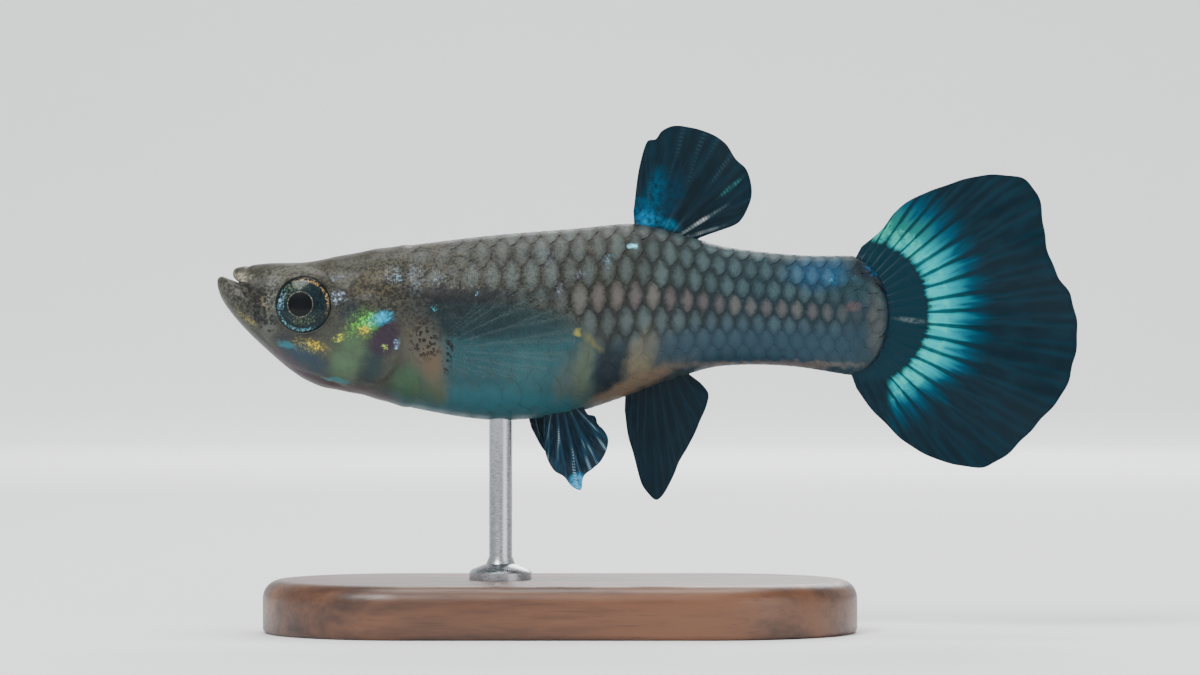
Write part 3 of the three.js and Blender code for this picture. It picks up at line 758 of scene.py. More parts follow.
def new_material(name: str) -> tuple[bpy.types.Material, Brush, bpy.types.Node]:
    """Makes a material and returns it with its brush and its surface shader."""
    material = bpy.data.materials.new(name)
    material.use_nodes = True
    return material, Brush(material.node_tree), material.node_tree.nodes["Principled BSDF"]


@dataclass(frozen=True)
class MoistSkin:
    """The bare skin of the head and what lies under the scales, with painted shade inside the mouth."""

    pattern: bpy.types.NodeTree
    gloss: Gloss = Gloss(0.2, 0.07, 0.2)

    def material(self) -> bpy.types.Material:
        """Makes the skin's material."""
        material, brush, shader = new_material("moist_skin")
        place = brush.fish_place()
        marked = brush.group(self.pattern, {"Place": place})
        # Painted shade: everything inside the lips is painted near-black, in place of the shade in the
        # mouth.
        mouth = brush.mix(brush.value("MouthShade"), marked.outputs["Colour"], colour(16, 15, 16))
        brush.feed(shader.inputs["Base Color"], mouth)
        grain = brush.noise(place, 9.0, 3.0, 0.6)
        rough = brush.between(marked.outputs["Glitter"], 0.0, 1.0, 0.42, 0.22)
        brush.feed(shader.inputs["Roughness"], brush.plus(rough, brush.times(grain, 0.12)))
        height = brush.plus(brush.times(grain, 0.7), brush.noise(place, 2.6, 2.0))
        brush.feed(shader.inputs["Normal"], brush.bump(height, 0.35, 0.00006))
        self.gloss.dress(shader)
        return material


@dataclass(frozen=True)
class ScaleFinish:
    """Scales with a pale middle and a dark hind edge, smooth on the belly."""

    pattern: bpy.types.NodeTree
    gloss: Gloss = Gloss(0.22, 0.06, 0.22)

    def material(self) -> bpy.types.Material:
        """Makes the scales' material."""
        material, brush, shader = new_material("scale_coat")
        place = brush.fish_place()
        marked = brush.group(self.pattern, {"Place": place})
        body = marked.outputs["Colour"]
        cell = brush.node("UVMap", uv_map=CELL_MAP).outputs[0]
        off = brush.vector("SUBTRACT", cell, (0.5, 0.5, 0.0))
        frayed = brush.jitter(place, (0.24, 0.17, 0), 3.2)
        tone = brush.value("Tone")
        reach = brush.vector("DIVIDE", brush.vector("ADD", off, frayed), (0.40, 0.215, 1))
        slant = brush.node("VectorMath", {0: brush.vector("ABSOLUTE", reach), 1: (1, 1, 0)},
                           operation="DOT_PRODUCT").outputs["Value"]
        share = brush.plus(brush.times(brush.length(reach), 0.5), brush.times(slant, 0.42))
        share = brush.times(share, brush.between(tone, 0.0, 1.0, 1.08, 0.94))
        pale = brush.between(share, 0.2, 1.2, 1.0, 0.0)
        net = brush.value("Net")
        lit = brush.mix(brush.between(tone, 0.0, 1.0, 0.11, 0.17), body, colour(134, 160, 164))
        blush = brush.mix(brush.between(tone, 0.2, 0.8), colour(102, 82, 84), colour(108, 94, 84))
        lit = brush.mix(brush.times(brush.value("Pink"), 0.48), lit, blush)
        dark = brush.mix(0.55, body, colour(104, 124, 142), "MULTIPLY")
        netted = brush.mix(pale, dark, lit)
        paint = brush.mix(net, body, netted)
        uneven = brush.mix(tone, colour(104, 104, 108), colour(152, 152, 148))
        paint = brush.mix(brush.times(net, 0.3), paint, uneven, "OVERLAY")
        brush.feed(shader.inputs["Base Color"], paint)
        grain = brush.noise(place, 8.0, 3.0, 0.6)
        glossy = brush.minus(0.46, brush.times(pale, 0.12))
        brush.feed(shader.inputs["Roughness"], brush.plus(glossy, brush.times(grain, 0.1)))
        rings = brush.math("SINE", brush.times(share, 22.0))
        height = brush.plus(brush.times(rings, 0.25), grain)
        brush.feed(shader.inputs["Normal"], brush.bump(height, 0.25, 0.00004))
        self.gloss.dress(shader)
        return material


@dataclass(frozen=True)
class FinFinish:
    """A thin membrane on fine rays."""

    name: str
    membrane: Colour
    rays: Colour
    edge: Colour
    clearness: float = 0.12
    clear_root: float = 0.25
    clear_ray: float = 0.25
    bead_tone: Colour = colour(120, 150, 160)
    bead_share: float = 0.1
    ray_share: float = 0.35
    relief: float = 0.3
    glow: tuple[Marking, ...] = ()
    bright_band: bool = False
    gloss: Gloss = Gloss(0.12, 0.02, 0.3)

    def material(self, spot: bpy.types.NodeTree) -> bpy.types.Material:
        """Makes the fin's material from the shared soft spot group."""
        material, brush, shader = new_material(self.name)
        place = brush.fish_place()
        ray = brush.value("Ray")
        shares = brush.axes(brush.node("UVMap", uv_map=RAY_MAP).outputs[0])
        across, outward = shares["X"], shares["Y"]
        inputs = {0: brush.times(across, 60.0), 1: brush.times(outward, 5.0)}
        stretched = brush.node("CombineXYZ", inputs).outputs[0]
        streaks = brush.noise(stretched, 1.0, 2.0, 0.5)
        paint = brush.mix(brush.between(outward, 0.35, 1.0), self.membrane, self.edge)
        paint = brush.mix(brush.times(brush.between(streaks, 0.42, 0.75), 0.4), paint, self.rays)
        paint = brush.mix(brush.times(ray, self.ray_share), paint, self.rays)
        beads = brush.math("SINE", brush.times(outward, 170.0))
        lit_rays = brush.between(brush.noise(stretched, 0.35, 1.0), 0.5, 0.68)
        beaded = brush.times(brush.between(beads, -0.3, 0.6), brush.between(ray, 0.45, 0.9), lit_rays,
                             self.bead_share)
        paint = brush.mix(beaded, paint, self.bead_tone)
        sparkle = brush.between(brush.noise(place, 2.6, 4.0, 0.7), 0.3, 0.68, 0.1, 1.0)
        lines = brush.times(brush.between(beads, -0.6, 0.6, 0.45, 1.0),
                            brush.between(brush.noise(place, 2.0, 2.0), 0.35, 0.6, 0.3, 1.0))
        for marking in self.glow:
            broken = lines if marking.kind is Kind.DOTS else sparkle
            mask = brush.times(marking.mask(brush, spot, place), broken, marking.strength)
            paint = brush.mix(mask, paint, marking.tone)
        if self.bright_band:
            paint = TurquoiseBand().over(brush, paint, place, ray, streaks, spot)
        brush.feed(shader.inputs["Base Color"], paint)
        thin = brush.times(brush.between(outward, 0.1, 1.0, self.clear_root, 1.0), self.clearness,
                           brush.between(ray, 0.0, 0.8, 1.0, self.clear_ray))
        brush.feed(shader.inputs["Alpha"], brush.minus(1.0, thin))
        brush.feed(shader.inputs["Roughness"], brush.between(streaks, 0.3, 0.7, 0.34, 0.5))
        height = brush.plus(brush.times(ray, 0.8), streaks)
        brush.feed(shader.inputs["Normal"], brush.bump(height, self.relief, 0.00005))
        self.gloss.dress(shader)
        return material


@dataclass(frozen=True)
class TurquoiseBand:
    """The glowing arc of streaks across the base of the tail fin."""

    centre: tuple[float, float, float] = (39.45, 0.0, 0.0)
    inner: float = 3.65
    outer: float = 6.2
    crescent: Colour = colour(0, 36, 47)
    fringe: Colour = colour(0, 84, 112)
    glow: Colour = colour(0, 166, 170)
    mint: Colour = colour(58, 188, 166)
    top_tint: Colour = colour(20, 112, 96)

    def over(self, brush: Brush, paint: Socket, place: Socket, ray: Socket, streaks: Socket,
             spot: bpy.types.NodeTree) -> Socket:
        """Lays the band over a fin's colour.

        Args:
            brush: The material's brush.
            paint: The colour so far.
            place: Place in the fish's frame.
            ray: How near the surface is to a ray.
            streaks: Noise drawn out along the rays.
            spot: The soft spot group.

        Returns:
            The colour with the band on it.
        """
        away = brush.vector("MULTIPLY", brush.vector("SUBTRACT", place, self.centre), (1.0, 0.0, 0.86))
        radius = brush.length(away)
        axes = brush.axes(place)
        wobble = brush.times(brush.minus(streaks, 0.5), 2.6)
        paint = brush.mix(brush.band(radius, 0.0, self.inner - 0.3, 0.5), paint, self.crescent)
        gap = brush.plus(brush.value("Gap"), brush.times(brush.between(streaks, 0.62, 0.4), 0.4))
        streaked = brush.between(gap, 0.15, 0.9, 1.0, 0.12)
        kept = brush.math("MAXIMUM", brush.between(axes["Z"], -3.4, -2.2),
                          brush.between(axes["X"], 40.5, 41.2))
        start = brush.plus(radius, brush.times(wobble, 0.3))
        inward = brush.times(brush.between(start, self.inner - 0.1, self.inner + 0.45), kept)
        below = brush.between(axes["Z"], -5.4, -2.6)
        shorter = brush.plus(brush.plus(radius, wobble), brush.between(below, 0.0, 1.0, 0.9, 0.0))
        tail_off = brush.between(shorter, self.outer - 1.3, self.outer + 1.6, 1.0, 0.0)
        paint = brush.mix(brush.times(inward, tail_off, streaked, 0.85), paint, self.fringe)
        middle = brush.between(shorter, self.outer - 1.9, self.outer + 0.3, 1.0, 0.0)
        above = brush.between(axes["Z"], 3.0, 5.2)
        core = brush.mix(above, self.glow, self.top_tint)
        paint = brush.mix(brush.times(inward, middle, streaked), paint, core)
        broken = brush.between(brush.noise(place, 1.1, 5.0, 0.75), 0.46, 0.56)
        rim = brush.band(radius, self.inner + 0.2, self.inner + 1.1, 0.3)
        tips = brush.times(rim, broken, streaked, kept)
        paint = brush.mix(brush.times(tips, 0.42), paint, self.mint)
        pale = brush.oval(spot, place, (42.0, -0.5), (0.8, 0.13), -8, 0.8)
        pale = brush.times(pale, brush.between(brush.noise(place, 3.0, 3.0), 0.3, 0.6))
        return brush.mix(brush.times(pale, 0.4), paint, colour(120, 134, 134))


@dataclass(frozen=True)
class EyeFinish:
    """A dark iris with broken gold and silver marks under a clear wet surface."""

    iris: Colour = colour(2, 18, 24)
    pupil: Colour = colour(0, 3, 6)
    gold: Colour = colour(186, 146, 84)
    silver: Colour = colour(132, 136, 116)
    cyan: Colour = colour(104, 172, 186)
    pupil_x: float = 5.22
    pupil_z: float = 0.44
    pupil_radius: float = 0.73
    gloss: Gloss = Gloss(0.1, 0.22, 0.03)

    def material(self, spot: bpy.types.NodeTree) -> bpy.types.Material:
        """Makes the eye's material."""
        material, brush, shader = new_material("wet_eye")
        place = brush.fish_place()
        flat = brush.vector("MULTIPLY", place, (1, 0, 1))
        from_pupil = brush.length(brush.vector("SUBTRACT", flat, (self.pupil_x, 0, self.pupil_z)))
        from_middle = brush.length(brush.vector("SUBTRACT", flat, (SEAT.x, 0, SEAT.z)))
        mottle = brush.noise(place, 3.0, 4.0, 0.65)
        broken = brush.between(brush.noise(place, 8.0, 3.0, 0.8), 0.49, 0.6)
        paint = brush.mix(brush.between(mottle, 0.3, 0.7), colour(0, 8, 12), colour(8, 32, 38))
        paint = brush.mix(0.5, paint, self.iris)
        arcs = (
            (6.2, 1.35, 1.2, 1.3, 1.44, 1.56, self.gold, 1.0),
            (4.05, 0.85, 0.3, 0.6, 1.20, 1.48, colour(150, 190, 215), 0.9),
            (4.25, -0.75, 1.2, 1.0, 1.50, 1.57, self.cyan, 0.9),
            (5.4, -1.1, 0.6, 0.5, 1.46, 1.57, self.cyan, 0.8),
            (4.6, 1.35, 0.9, 0.6, 1.00, 1.48, colour(96, 112, 74), 0.7),
            (5.5, -0.7, 1.2, 0.5, 0.80, 1.20, colour(96, 104, 66), 0.55),
            (5.4, 0.4, 1.7, 1.7, 0.80, 1.50, colour(52, 86, 84), 0.18),
        )
        for x, z, long, tall, low, high, tone, strength in arcs:
            near = brush.oval(spot, place, (x, z), (long, tall), 0.0, 0.5)
            arc = brush.times(near, brush.band(from_middle, low, high, 0.07), broken, strength)
            paint = brush.mix(arc, paint, tone)
        ring = brush.band(from_pupil, self.pupil_radius + 0.02, self.pupil_radius + 0.05, 0.03)
        ring = brush.times(ring, brush.between(broken, 0.0, 1.0, 0.15, 0.85))
        paint = brush.mix(ring, paint, self.silver)
        inside = brush.between(from_pupil, self.pupil_radius - 0.02, self.pupil_radius + 0.02, 1.0, 0.0)
        paint = brush.mix(inside, paint, self.pupil)
        rim = brush.between(from_middle, 1.6, 1.7)
        paint = brush.mix(rim, paint, colour(20, 24, 26))
        brush.feed(shader.inputs["Base Color"], paint)
        shader.inputs["Roughness"].default_value = 0.4
        self.gloss.dress(shader)
        return material


@dataclass(frozen=True)
class WoodFinish:
    """Satin dark hardwood with its grain along the stand."""

    light: Colour = colour(104, 66, 42)
    dark: Colour = colour(48, 27, 17)

    def material(self) -> bpy.types.Material:
        """Makes the wood's material."""
        material, brush, shader = new_material("stand_hardwood")
        place = brush.node("TexCoord").outputs["Object"]
        stretched = brush.node("Mapping", {0: place, 3: (60, 420, 420)}).outputs[0]
        bands = brush.noise(stretched, 1.0, 5.0, 0.6)
        grain = brush.node("Mapping", {0: place, 3: (260, 5200, 5200)}).outputs[0]
        fibres = brush.noise(grain, 1.0, 3.0, 0.7)
        paint = brush.mix(brush.between(bands, 0.32, 0.68), self.dark, self.light)
        paint = brush.mix(brush.between(fibres, 0.55, 0.75, 0.0, 0.45), paint, colour(40, 22, 14))
        brush.feed(shader.inputs["Base Color"], paint)
        brush.feed(shader.inputs["Roughness"], brush.between(fibres, 0.3, 0.7, 0.36, 0.5))
        brush.feed(shader.inputs["Normal"], brush.bump(fibres, 0.15, 0.00005))
        shader.inputs["Coat Weight"].default_value = 0.15
        shader.inputs["Coat Roughness"].default_value = 0.3
        return material


@dataclass(frozen=True)
class SteelFinish:
    """Finely brushed steel."""

    tone: Colour = colour(196, 198, 202)

    def material(self) -> bpy.types.Material:
        """Makes the steel's material."""
        material, brush, shader = new_material("brushed_steel")
        place = brush.node("TexCoord").outputs["Object"]
        lines = brush.noise(brush.node("Mapping", {0: place, 3: (3000, 3000, 26000)}).outputs[0], 1.0, 2.0)
        brush.feed(shader.inputs["Base Color"], brush.mix(lines, colour(150, 152, 156), self.tone))
        brush.feed(shader.inputs["Roughness"], brush.between(lines, 0.3, 0.7, 0.22, 0.36))
        brush.feed(shader.inputs["Normal"], brush.bump(lines, 0.1, 0.00001))
        shader.inputs["Metallic"].default_value = 1.0
        return material


@dataclass
class Skin:
    """One seamless skin over the head, trunk and tail stem, with open lips and eye rims."""

    around: int = 168
    snout_rings: int = 78
    head_rings: int = 84
    trunk_rings: int = 66
    tail_rings: int = 56
    head_end: float = 11.9
    trunk_end: float = 30.4
    head_depth: float = 0.02
    coat_depth: float = 0.13
    coat_start: Point = (11.2, 12.0)
    # Each row is a ring of the snout: x and z of its top, of its bottom and of its side, and half its width
    snout: tuple[tuple[float, ...], ...] = (
        (3.0, 1.02, 3.0, 1.0, 3.0, 1.01, 0.1),
        (2.6, 1.2, 2.4, 0.85, 2.6, 1.0, 0.45),
        (1.95, 1.6, 1.5, 1.05, 2.1, 1.3, 0.9),
        (1.42, 1.86, 0.72, 1.78, 1.80, 1.56, 1.12),
        (1.12, 2.00, 0.40, 2.14, 1.70, 1.60, 1.26),
        (0.98, 2.30, 0.08, 2.02, 1.60, 1.58, 1.35),
        (1.12, 2.62, 0.06, 1.52, 1.60, 1.36, 1.44),
        (1.50, 2.74, 0.34, 0.74, 1.75, 1.05, 1.60),
        (2.0, 2.82, 0.95, -0.14, 2.1, 0.72, 1.80),
        (2.6, 2.90, 1.75, -1.05, 2.55, 0.48, 1.99),
        (3.3, 2.96, 2.75, -2.03, 3.2, 0.32, 2.18),
    )
    first_station: float = 4.2

    def snout_points(self, share: np.ndarray, angle: np.ndarray) -> np.ndarray:
        """Returns points on the snout and inside the mouth.

        Args:
            share: 0 at the bottom of the mouth and 1 at the first upright section.
            angle: Way round each ring.

        Returns:
            An array of points.
        """
        x = self.first_station
        joining = [(s, FORM.back(s) - self.head_depth, s, FORM.belly(s) + self.head_depth, s, FORM.waist(s),
                    FORM.half(s) - self.head_depth) for s in (x, x + 0.9)]
        rings = np.array([*self.snout, *joining], float)
        last = len(rings) - 2
        column = [Line(*[(k, ring[c]) for k, ring in enumerate(rings)])(share * last) for c in range(7)]
        powers = (Line((0, 2.2), (last - 2, 2.4), (last, FORM.upper_power(x)))(share * last),
                  Line((0, 2.2), (last - 2, 2.1), (last, FORM.lower_power(x)))(share * last))
        across, up = np.cos(angle), np.sin(angle)
        power = 2 / np.where(up >= 0, *powers)
        reach = np.abs(up) ** power
        end_x = np.where(up >= 0, column[0], column[2])
        end_z = np.where(up >= 0, column[1], column[3])
        y = column[6] * np.sign(across) * np.abs(across) ** power
        return np.stack([column[4] + (end_x - column[4]) * reach, y,
                         column[5] + (end_z - column[5]) * reach], axis=-1)

    def stations(self) -> np.ndarray:
        """Returns the upright sections' places from the snout to the end of the tail stem."""
        head = np.linspace(self.first_station, self.head_end, self.head_rings, endpoint=False)
        trunk = np.linspace(self.head_end, self.trunk_end, self.trunk_rings, endpoint=False)
        ahead = np.linspace(self.trunk_end, FORM.arc_start, self.tail_rings // 2, endpoint=False)
        arc = FORM.arc_start + FORM.arc_length * np.sin(np.linspace(0, np.pi / 2, self.tail_rings // 2))
        return np.concatenate([head, trunk, ahead, arc])

    def unwrap(self, x: np.ndarray, angle: np.ndarray) -> np.ndarray:
        """Returns where a point of the upright sections lies on the skin's unwrap.

        Args:
            x: Station along the body.
            angle: Way round the section, from a quarter turn below zero to three quarters above.

        Returns:
            Rows of u and v.
        """
        stations = self.stations()
        rows = self.snout_rings + np.arange(len(stations))
        v = np.interp(x, stations, rows / (self.snout_rings + len(stations) - 1))
        return np.stack([(angle + np.pi / 2) / (2 * np.pi), v], axis=-1)

    def relief(self, points: np.ndarray) -> np.ndarray:
        """Returns how far the head's skin stands out at each point."""
        x, z = points[:, 0], points[:, 2]
        flank = ease(np.abs(points[:, 1]), 1.3, 2.0)

        def bump(cx: float, cz: float, long: float, tall: float, turn: float = 0.0) -> np.ndarray:
            """A soft mound in the side view."""
            c, s = math.cos(math.radians(turn)), math.sin(math.radians(turn))
            dx, dz = x - cx, z - cz
            return np.exp(-((dx * c + dz * s) / long) ** 2 - ((dz * c - dx * s) / tall) ** 2)

        cover = np.hypot((x - 9.2) / 2.15, (z + 1.75) / 2.65)
        lifted = 0.09 * ease(cover, 1.04, 0.97) * ease(x, 7.0, 9.6) * flank
        ridge = 0.05 * np.exp(-((np.hypot((x - 9.6) / 2.1, (z + 1.6) / 2.6) - 0.72) / 0.09) ** 2)
        ridge = ridge * ease(x, 9.4, 8.4) * flank
        crease = -0.04 * bump(1.95, 1.4, 0.13, 0.3, 22)
        groove = -0.06 * bump(1.95, 2.75, 0.16, 0.5)
        nostril = -0.16 * bump(3.15, 2.35, 0.13, 0.10) + 0.05 * bump(3.15, 2.35, 0.28, 0.24)
        jaw = 0.02 * bump(1.1, 0.8, 0.6, 0.3, -52) - 0.04 * bump(2.4, -1.0, 1.6, 0.10, -47)
        throat = -0.06 * bump(6.3, -4.0, 1.9, 0.12, -20) * ease(np.abs(points[:, 1]), 0.3, 0.9)
        nape = 0.03 * np.sin(x * 2.4 + z) * np.sin(z * 3.1 - x) * ease(x, 4.0, 7.0)
        return lifted + ridge + crease + groove + nostril + jaw + throat + nape

    def seat_eyes(self, points: np.ndarray) -> np.ndarray:
        """Sinks a socket round each eye and raises its rim."""
        away = SEAT.distance(points)
        plane = SEAT.rim_plane(points)
        flank = ease(np.abs(points[:, 1]), 0.9, 1.5)
        reach = np.abs(points[:, 1])
        rim = (1 - ease(away, SEAT.radius + 0.05, SEAT.radius + 0.65)) * flank
        sunk = (1 - ease(away, SEAT.radius - 0.10, SEAT.radius + 0.04)) * flank
        reach = reach * (1 - rim) + (plane + 0.03) * rim
        reach = reach * (1 - sunk) + (plane - 0.4) * sunk
        moved = points.copy()
        moved[:, 1] = np.sign(points[:, 1]) * reach
        return moved

    def eye_rims(self) -> list[bpy.types.Object]:
        """Adds the soft ring of skin round each eye."""
        rims = []
        for side in (LEFT, RIGHT):
            deselect()
            bpy.ops.mesh.primitive_torus_add(
                major_radius=SEAT.radius + 0.05, minor_radius=0.085, major_segments=112, minor_segments=12)
            rim = named(f"eye_rim_{side}")
            ring = points_of(rim)
            points = np.stack([SEAT.x + ring[:, 0], 0 * ring[:, 0], SEAT.z + ring[:, 1]], axis=-1)
            points[:, 1] = side * (SEAT.rim_plane(points) - 0.015 + ring[:, 2])
            place_points(rim, to_world(points))
            turn = 0.2 if side > 0 else np.pi - 0.2
            angles = np.full(len(rim.data.loops), turn)
            set_map(rim, BAKE_MAP, self.unwrap(points[corner_vertices(rim), 0], angles))
            rims.append(rim)
        return rims

    def build(self, material: bpy.types.Material) -> bpy.types.Object:
        """Builds the skin and dresses it."""
        stations = self.stations()
        rows = self.snout_rings + len(stations) - 1
        skin, u, v = grid("skin", self.around, rows)
        row = np.rint(v * rows).astype(int)
        angle = u * 2 * np.pi - np.pi / 2
        share = np.clip(row / self.snout_rings, 0, 1)
        snout = self.snout_points(share, angle)
        x = stations[np.clip(row - self.snout_rings, 0, len(stations) - 1)]
        depth = self.head_depth + (self.coat_depth - self.head_depth) * ease(x, *self.coat_start)
        trunk = FORM.section(x, angle, -depth)
        points = np.where((row < self.snout_rings)[:, None], snout, trunk)
        place_points(skin, to_world(self.seat_eyes(points)))
        skin.data.uv_layers[0].name = BAKE_MAP
        inner = 4 * self.snout_rings / (len(self.snout) + 1)
        # Mask of the mouth's painted shade: 1 inside the mouth, falling to 0 at the lips.
        set_value(skin, "MouthShade", 1 - ease(row, inner - 5, inner + 1))
        merged_outward(skin)
        here = points_of(skin) / MILLIMETRE - np.array(FISH_TO_WORLD)
        raised = here + normals_of(skin) * self.relief(here)[:, None]
        place_points(skin, to_world(FORM.sway(raised)))
        rims = self.eye_rims()
        deselect()
        for part in (skin, *rims):
            part.select_set(True)
        bpy.context.view_layer.objects.active = skin
        bpy.ops.object.join()
        merged_outward(skin)
        smooth(skin)
        return finish_piece(skin, material, "trunk_skin", "head", "upper_jaw", "lower_jaw",
                            "gill_cover_left", "gill_cover_right", "trunk", "tail")


@dataclass
class ScaleCoat:
    """Overlapping scales in staggered rows over the trunk and the tail stem."""

    skin: Skin
    rows: int = 8
    anchor: float = 22.0
    first: float = 11.6
    last: float = 40.5
    pitch: Line = Line((10, 1.22), (18, 1.2), (23, 1.12), (30, 0.96), (36, 0.92), (41, 0.86))
    shares_along: tuple[float, ...] = (0.0, 0.42, 0.66, 0.85, 1.0)
    shares_across: tuple[float, ...] = (-1.0, -0.62, -0.22, 0.22, 0.62, 1.0)
    cover: float = 0.86
    overlap: float = 2.0
    hind_curve: float = 1.15
    lift: float = 0.1
    full_lift: Point = (12.5, 18.0)
    sink: float = 0.02
    thickness: float = 0.03
    pink_row: int = 3
    pink_start: Point = (19.5, 23.5)
    unwrap_size: Point = (0.05, 0.028)
    net_edge: Line = Line((12, 1.9), (16, 1.5), (20, 0.8), (22.2, -0.6), (24.2, -1.7), (26, -1.4),
                          (28.5, -1.0), (41, -0.9))
    seed: int = 7

    def columns(self) -> list[float]:
        """Returns the places along the body of one row's scales."""
        places = [self.anchor]
        while places[-1] < self.last:
            places.append(places[-1] + float(self.pitch(places[-1])))
        while places[0] > self.first - 1:
            places.insert(0, places[0] - float(self.pitch(places[0])))
        return places

    def angles(self, x: np.ndarray, share: np.ndarray) -> np.ndarray:
        """Returns the way up or down a flank for shares of its length, back to belly."""
        steps = np.linspace(np.pi / 2, -np.pi / 2, 181)
        found = np.empty_like(x)
        for i, (station, part) in enumerate(zip(x, share)):
            along = np.full(len(steps), min(station, FORM.end - 0.02))
            ring = FORM.section(along, steps, np.zeros(len(steps)))
            lengths = np.concatenate([[0], np.cumsum(np.linalg.norm(np.diff(ring, axis=0), axis=1))])
            found[i] = np.interp(part * lengths[-1], lengths, steps)
        return found

    def row_middle(self, row: int, x: float) -> float:
        """Returns how far down the flank a row lies at a station."""
        level = (row + 0.5) / self.rows
        drift = -0.035 + 0.095 * float(ease(x, 20.0, 33.0))
        return level + drift * math.sin(math.pi * level)

    def net_strength(self, points: np.ndarray) -> np.ndarray:
        """Returns how much the dark net shows: not on the belly, little under the pink row."""
        x, z = points[:, 0], points[:, 2]
        above = ease(z - self.net_edge(x), -0.8, 0.4)
        faint = 0.16 * ease(x, 26.0, 29.0)
        front = 0.35 + 0.65 * ease(x, 13.0, 20.0)
        rear = (1 - 0.25 * ease(x, 28.0, 33.0)) * (1 - 0.75 * ease(x, 36.0, 39.0))
        return (faint + (1 - faint) * above) * front * rear

    def one_plate(self) -> tuple[np.ndarray, np.ndarray, np.ndarray]:
        """Models one flat scale with a thickness.

        Returns:
            The places of its outer points across and along it, and its faces' vertices.
        """
        wide, deep = len(self.shares_across), len(self.shares_along)
        plate, u, v = grid("one_scale", wide - 1, deep - 1)
        apply_modifier(plate, "SOLIDIFY", thickness=self.thickness, offset=-1.0)
        faces = np.array([list(face.vertices) for face in plate.data.polygons])
        bpy.data.objects.remove(plate)
        across = np.interp(u * (wide - 1), np.arange(wide), self.shares_across)
        along = np.interp(v * (deep - 1), np.arange(deep), self.shares_along)
        return across, along, faces

    def plate(self, x: float, row: int, side: int, across: np.ndarray,
              along: np.ndarray) -> dict[str, np.ndarray]:
        """Lays one scale's outer points on the body.

        Args:
            x: The middle of its visible part.
            row: Its row, 0 next to the back.
            side: LEFT or RIGHT.
            across: Each point's share across the scale, -1 to 1.
            along: Each point's share along it, 0 at its root.

        Returns:
            Arrays by name, one row for each point of the scale's outer face.
        """
        pitch = float(self.pitch(x))
        taper = 1 - 0.16 * ease(along, 0.8, 1.0) * np.abs(across) ** 3
        hind = x + pitch * (0.5 - self.hind_curve * (across * self.cover) ** 2)
        front = x - pitch * (self.overlap - 0.5)
        place = np.minimum(front + (hind - front) * along, FORM.end - 0.03)
        middle = self.row_middle(row, x)
        level = np.clip(middle + across * taper * self.cover / self.rows, 0.004, 0.996)
        key = np.repeat(np.array([min(x, FORM.end - 0.3)]), len(level))
        upward = self.angles(key, level)
        wrapped = upward if side == RIGHT else np.pi - upward
        return {"x": place, "angle": wrapped, "forward": (place - x) / (pitch * self.overlap) + 0.75,
                "cell": np.stack([0.5 + across / 2, 0.5 + (place - x) / (pitch * 2)], axis=-1)}

    def build(self, material: bpy.types.Material) -> bpy.types.Object:
        """Builds all scales as one joined mesh of thin closed plates and dresses it."""
        rng = np.random.default_rng(self.seed)
        across, along, plate_faces = self.one_plate()
        count = len(across)
        points, faces, cells, bakes, values = [], [], [], [], {"Net": [], "Pink": [], "Tone": []}
        columns = self.columns()
        for side in (LEFT, RIGHT):
            for row in range(self.rows):
                shifted = (row + (side == LEFT)) % 2
                for i, (here, after) in enumerate(zip(columns, columns[1:])):
                    x = here + shifted * (after - here) / 2
                    if not self.first <= x <= self.last:
                        continue
                    plate = self.plate(x, row, side, across, along)
                    lift = self.lift * (0.5 + 0.5 * float(ease(x, *self.full_lift)))
                    rise = -self.skin.coat_depth - self.sink + lift * plate["forward"]
                    outer = FORM.section(plate["x"], plate["angle"], rise)
                    top = FORM.sway(outer)
                    low = FORM.sway(FORM.section(plate["x"], plate["angle"], rise - self.thickness))
                    base = len(points) * count * 2
                    points.append(np.concatenate([top, low]))
                    faces.append(plate_faces + base)
                    cells.append(np.concatenate([plate["cell"], plate["cell"]]))
                    middle = self.skin.unwrap(np.array([x]), plate["angle"].mean(keepdims=True))[0]
                    patch = (plate["cell"] - 0.5) * np.array(self.unwrap_size)
                    bakes.append(np.concatenate([middle + patch, middle + patch]))
                    values["Net"].append(np.tile(self.net_strength(outer), 2))
                    pink = float(row == self.pink_row) * float(ease(x, *self.pink_start))
                    values["Pink"].append(np.full(count * 2, pink))
                    values["Tone"].append(np.full(count * 2, rng.uniform(0.0, 1.0)))
        mesh = bpy.data.meshes.new("scales")
        mesh.from_pydata(to_world(np.concatenate(points)).tolist(), [], np.concatenate(faces).tolist())
        scales = bpy.data.objects.new("scales", mesh)
        bpy.context.scene.collection.objects.link(scales)
        for name, numbers in values.items():
            set_value(scales, name, np.concatenate(numbers))
        corners = corner_vertices(scales)
        set_map(scales, BAKE_MAP, np.concatenate(bakes)[corners])
        set_map(scales, CELL_MAP, np.concatenate(cells)[corners])
        with editing(scales):
            bpy.ops.mesh.normals_make_consistent(inside=False)
        smooth(scales, 60)
        LOG.info("scales: %d of them", len(points))
        return finish_piece(scales, material, "tail_skin")


def side_curve(points: Sequence[Point], shares: np.ndarray) -> np.ndarray:
    """Returns points on a smooth curve through side points, by shares of its length."""
    corners = np.array(points, float)
    steps = np.concatenate([[0], np.cumsum(np.linalg.norm(np.diff(corners, axis=0), axis=1) ** 0.5)])
    fine = np.linspace(0, steps[-1], 40 * len(corners))
    curve = np.stack([Line(*zip(steps, corners[:, c]))(fine) for c in (0, 1)], axis=-1)
    lengths = np.concatenate([[0], np.cumsum(np.linalg.norm(np.diff(curve, axis=0), axis=1))])
    return np.stack([np.interp(shares * lengths[-1], lengths, curve[:, c]) for c in (0, 1)], axis=-1)


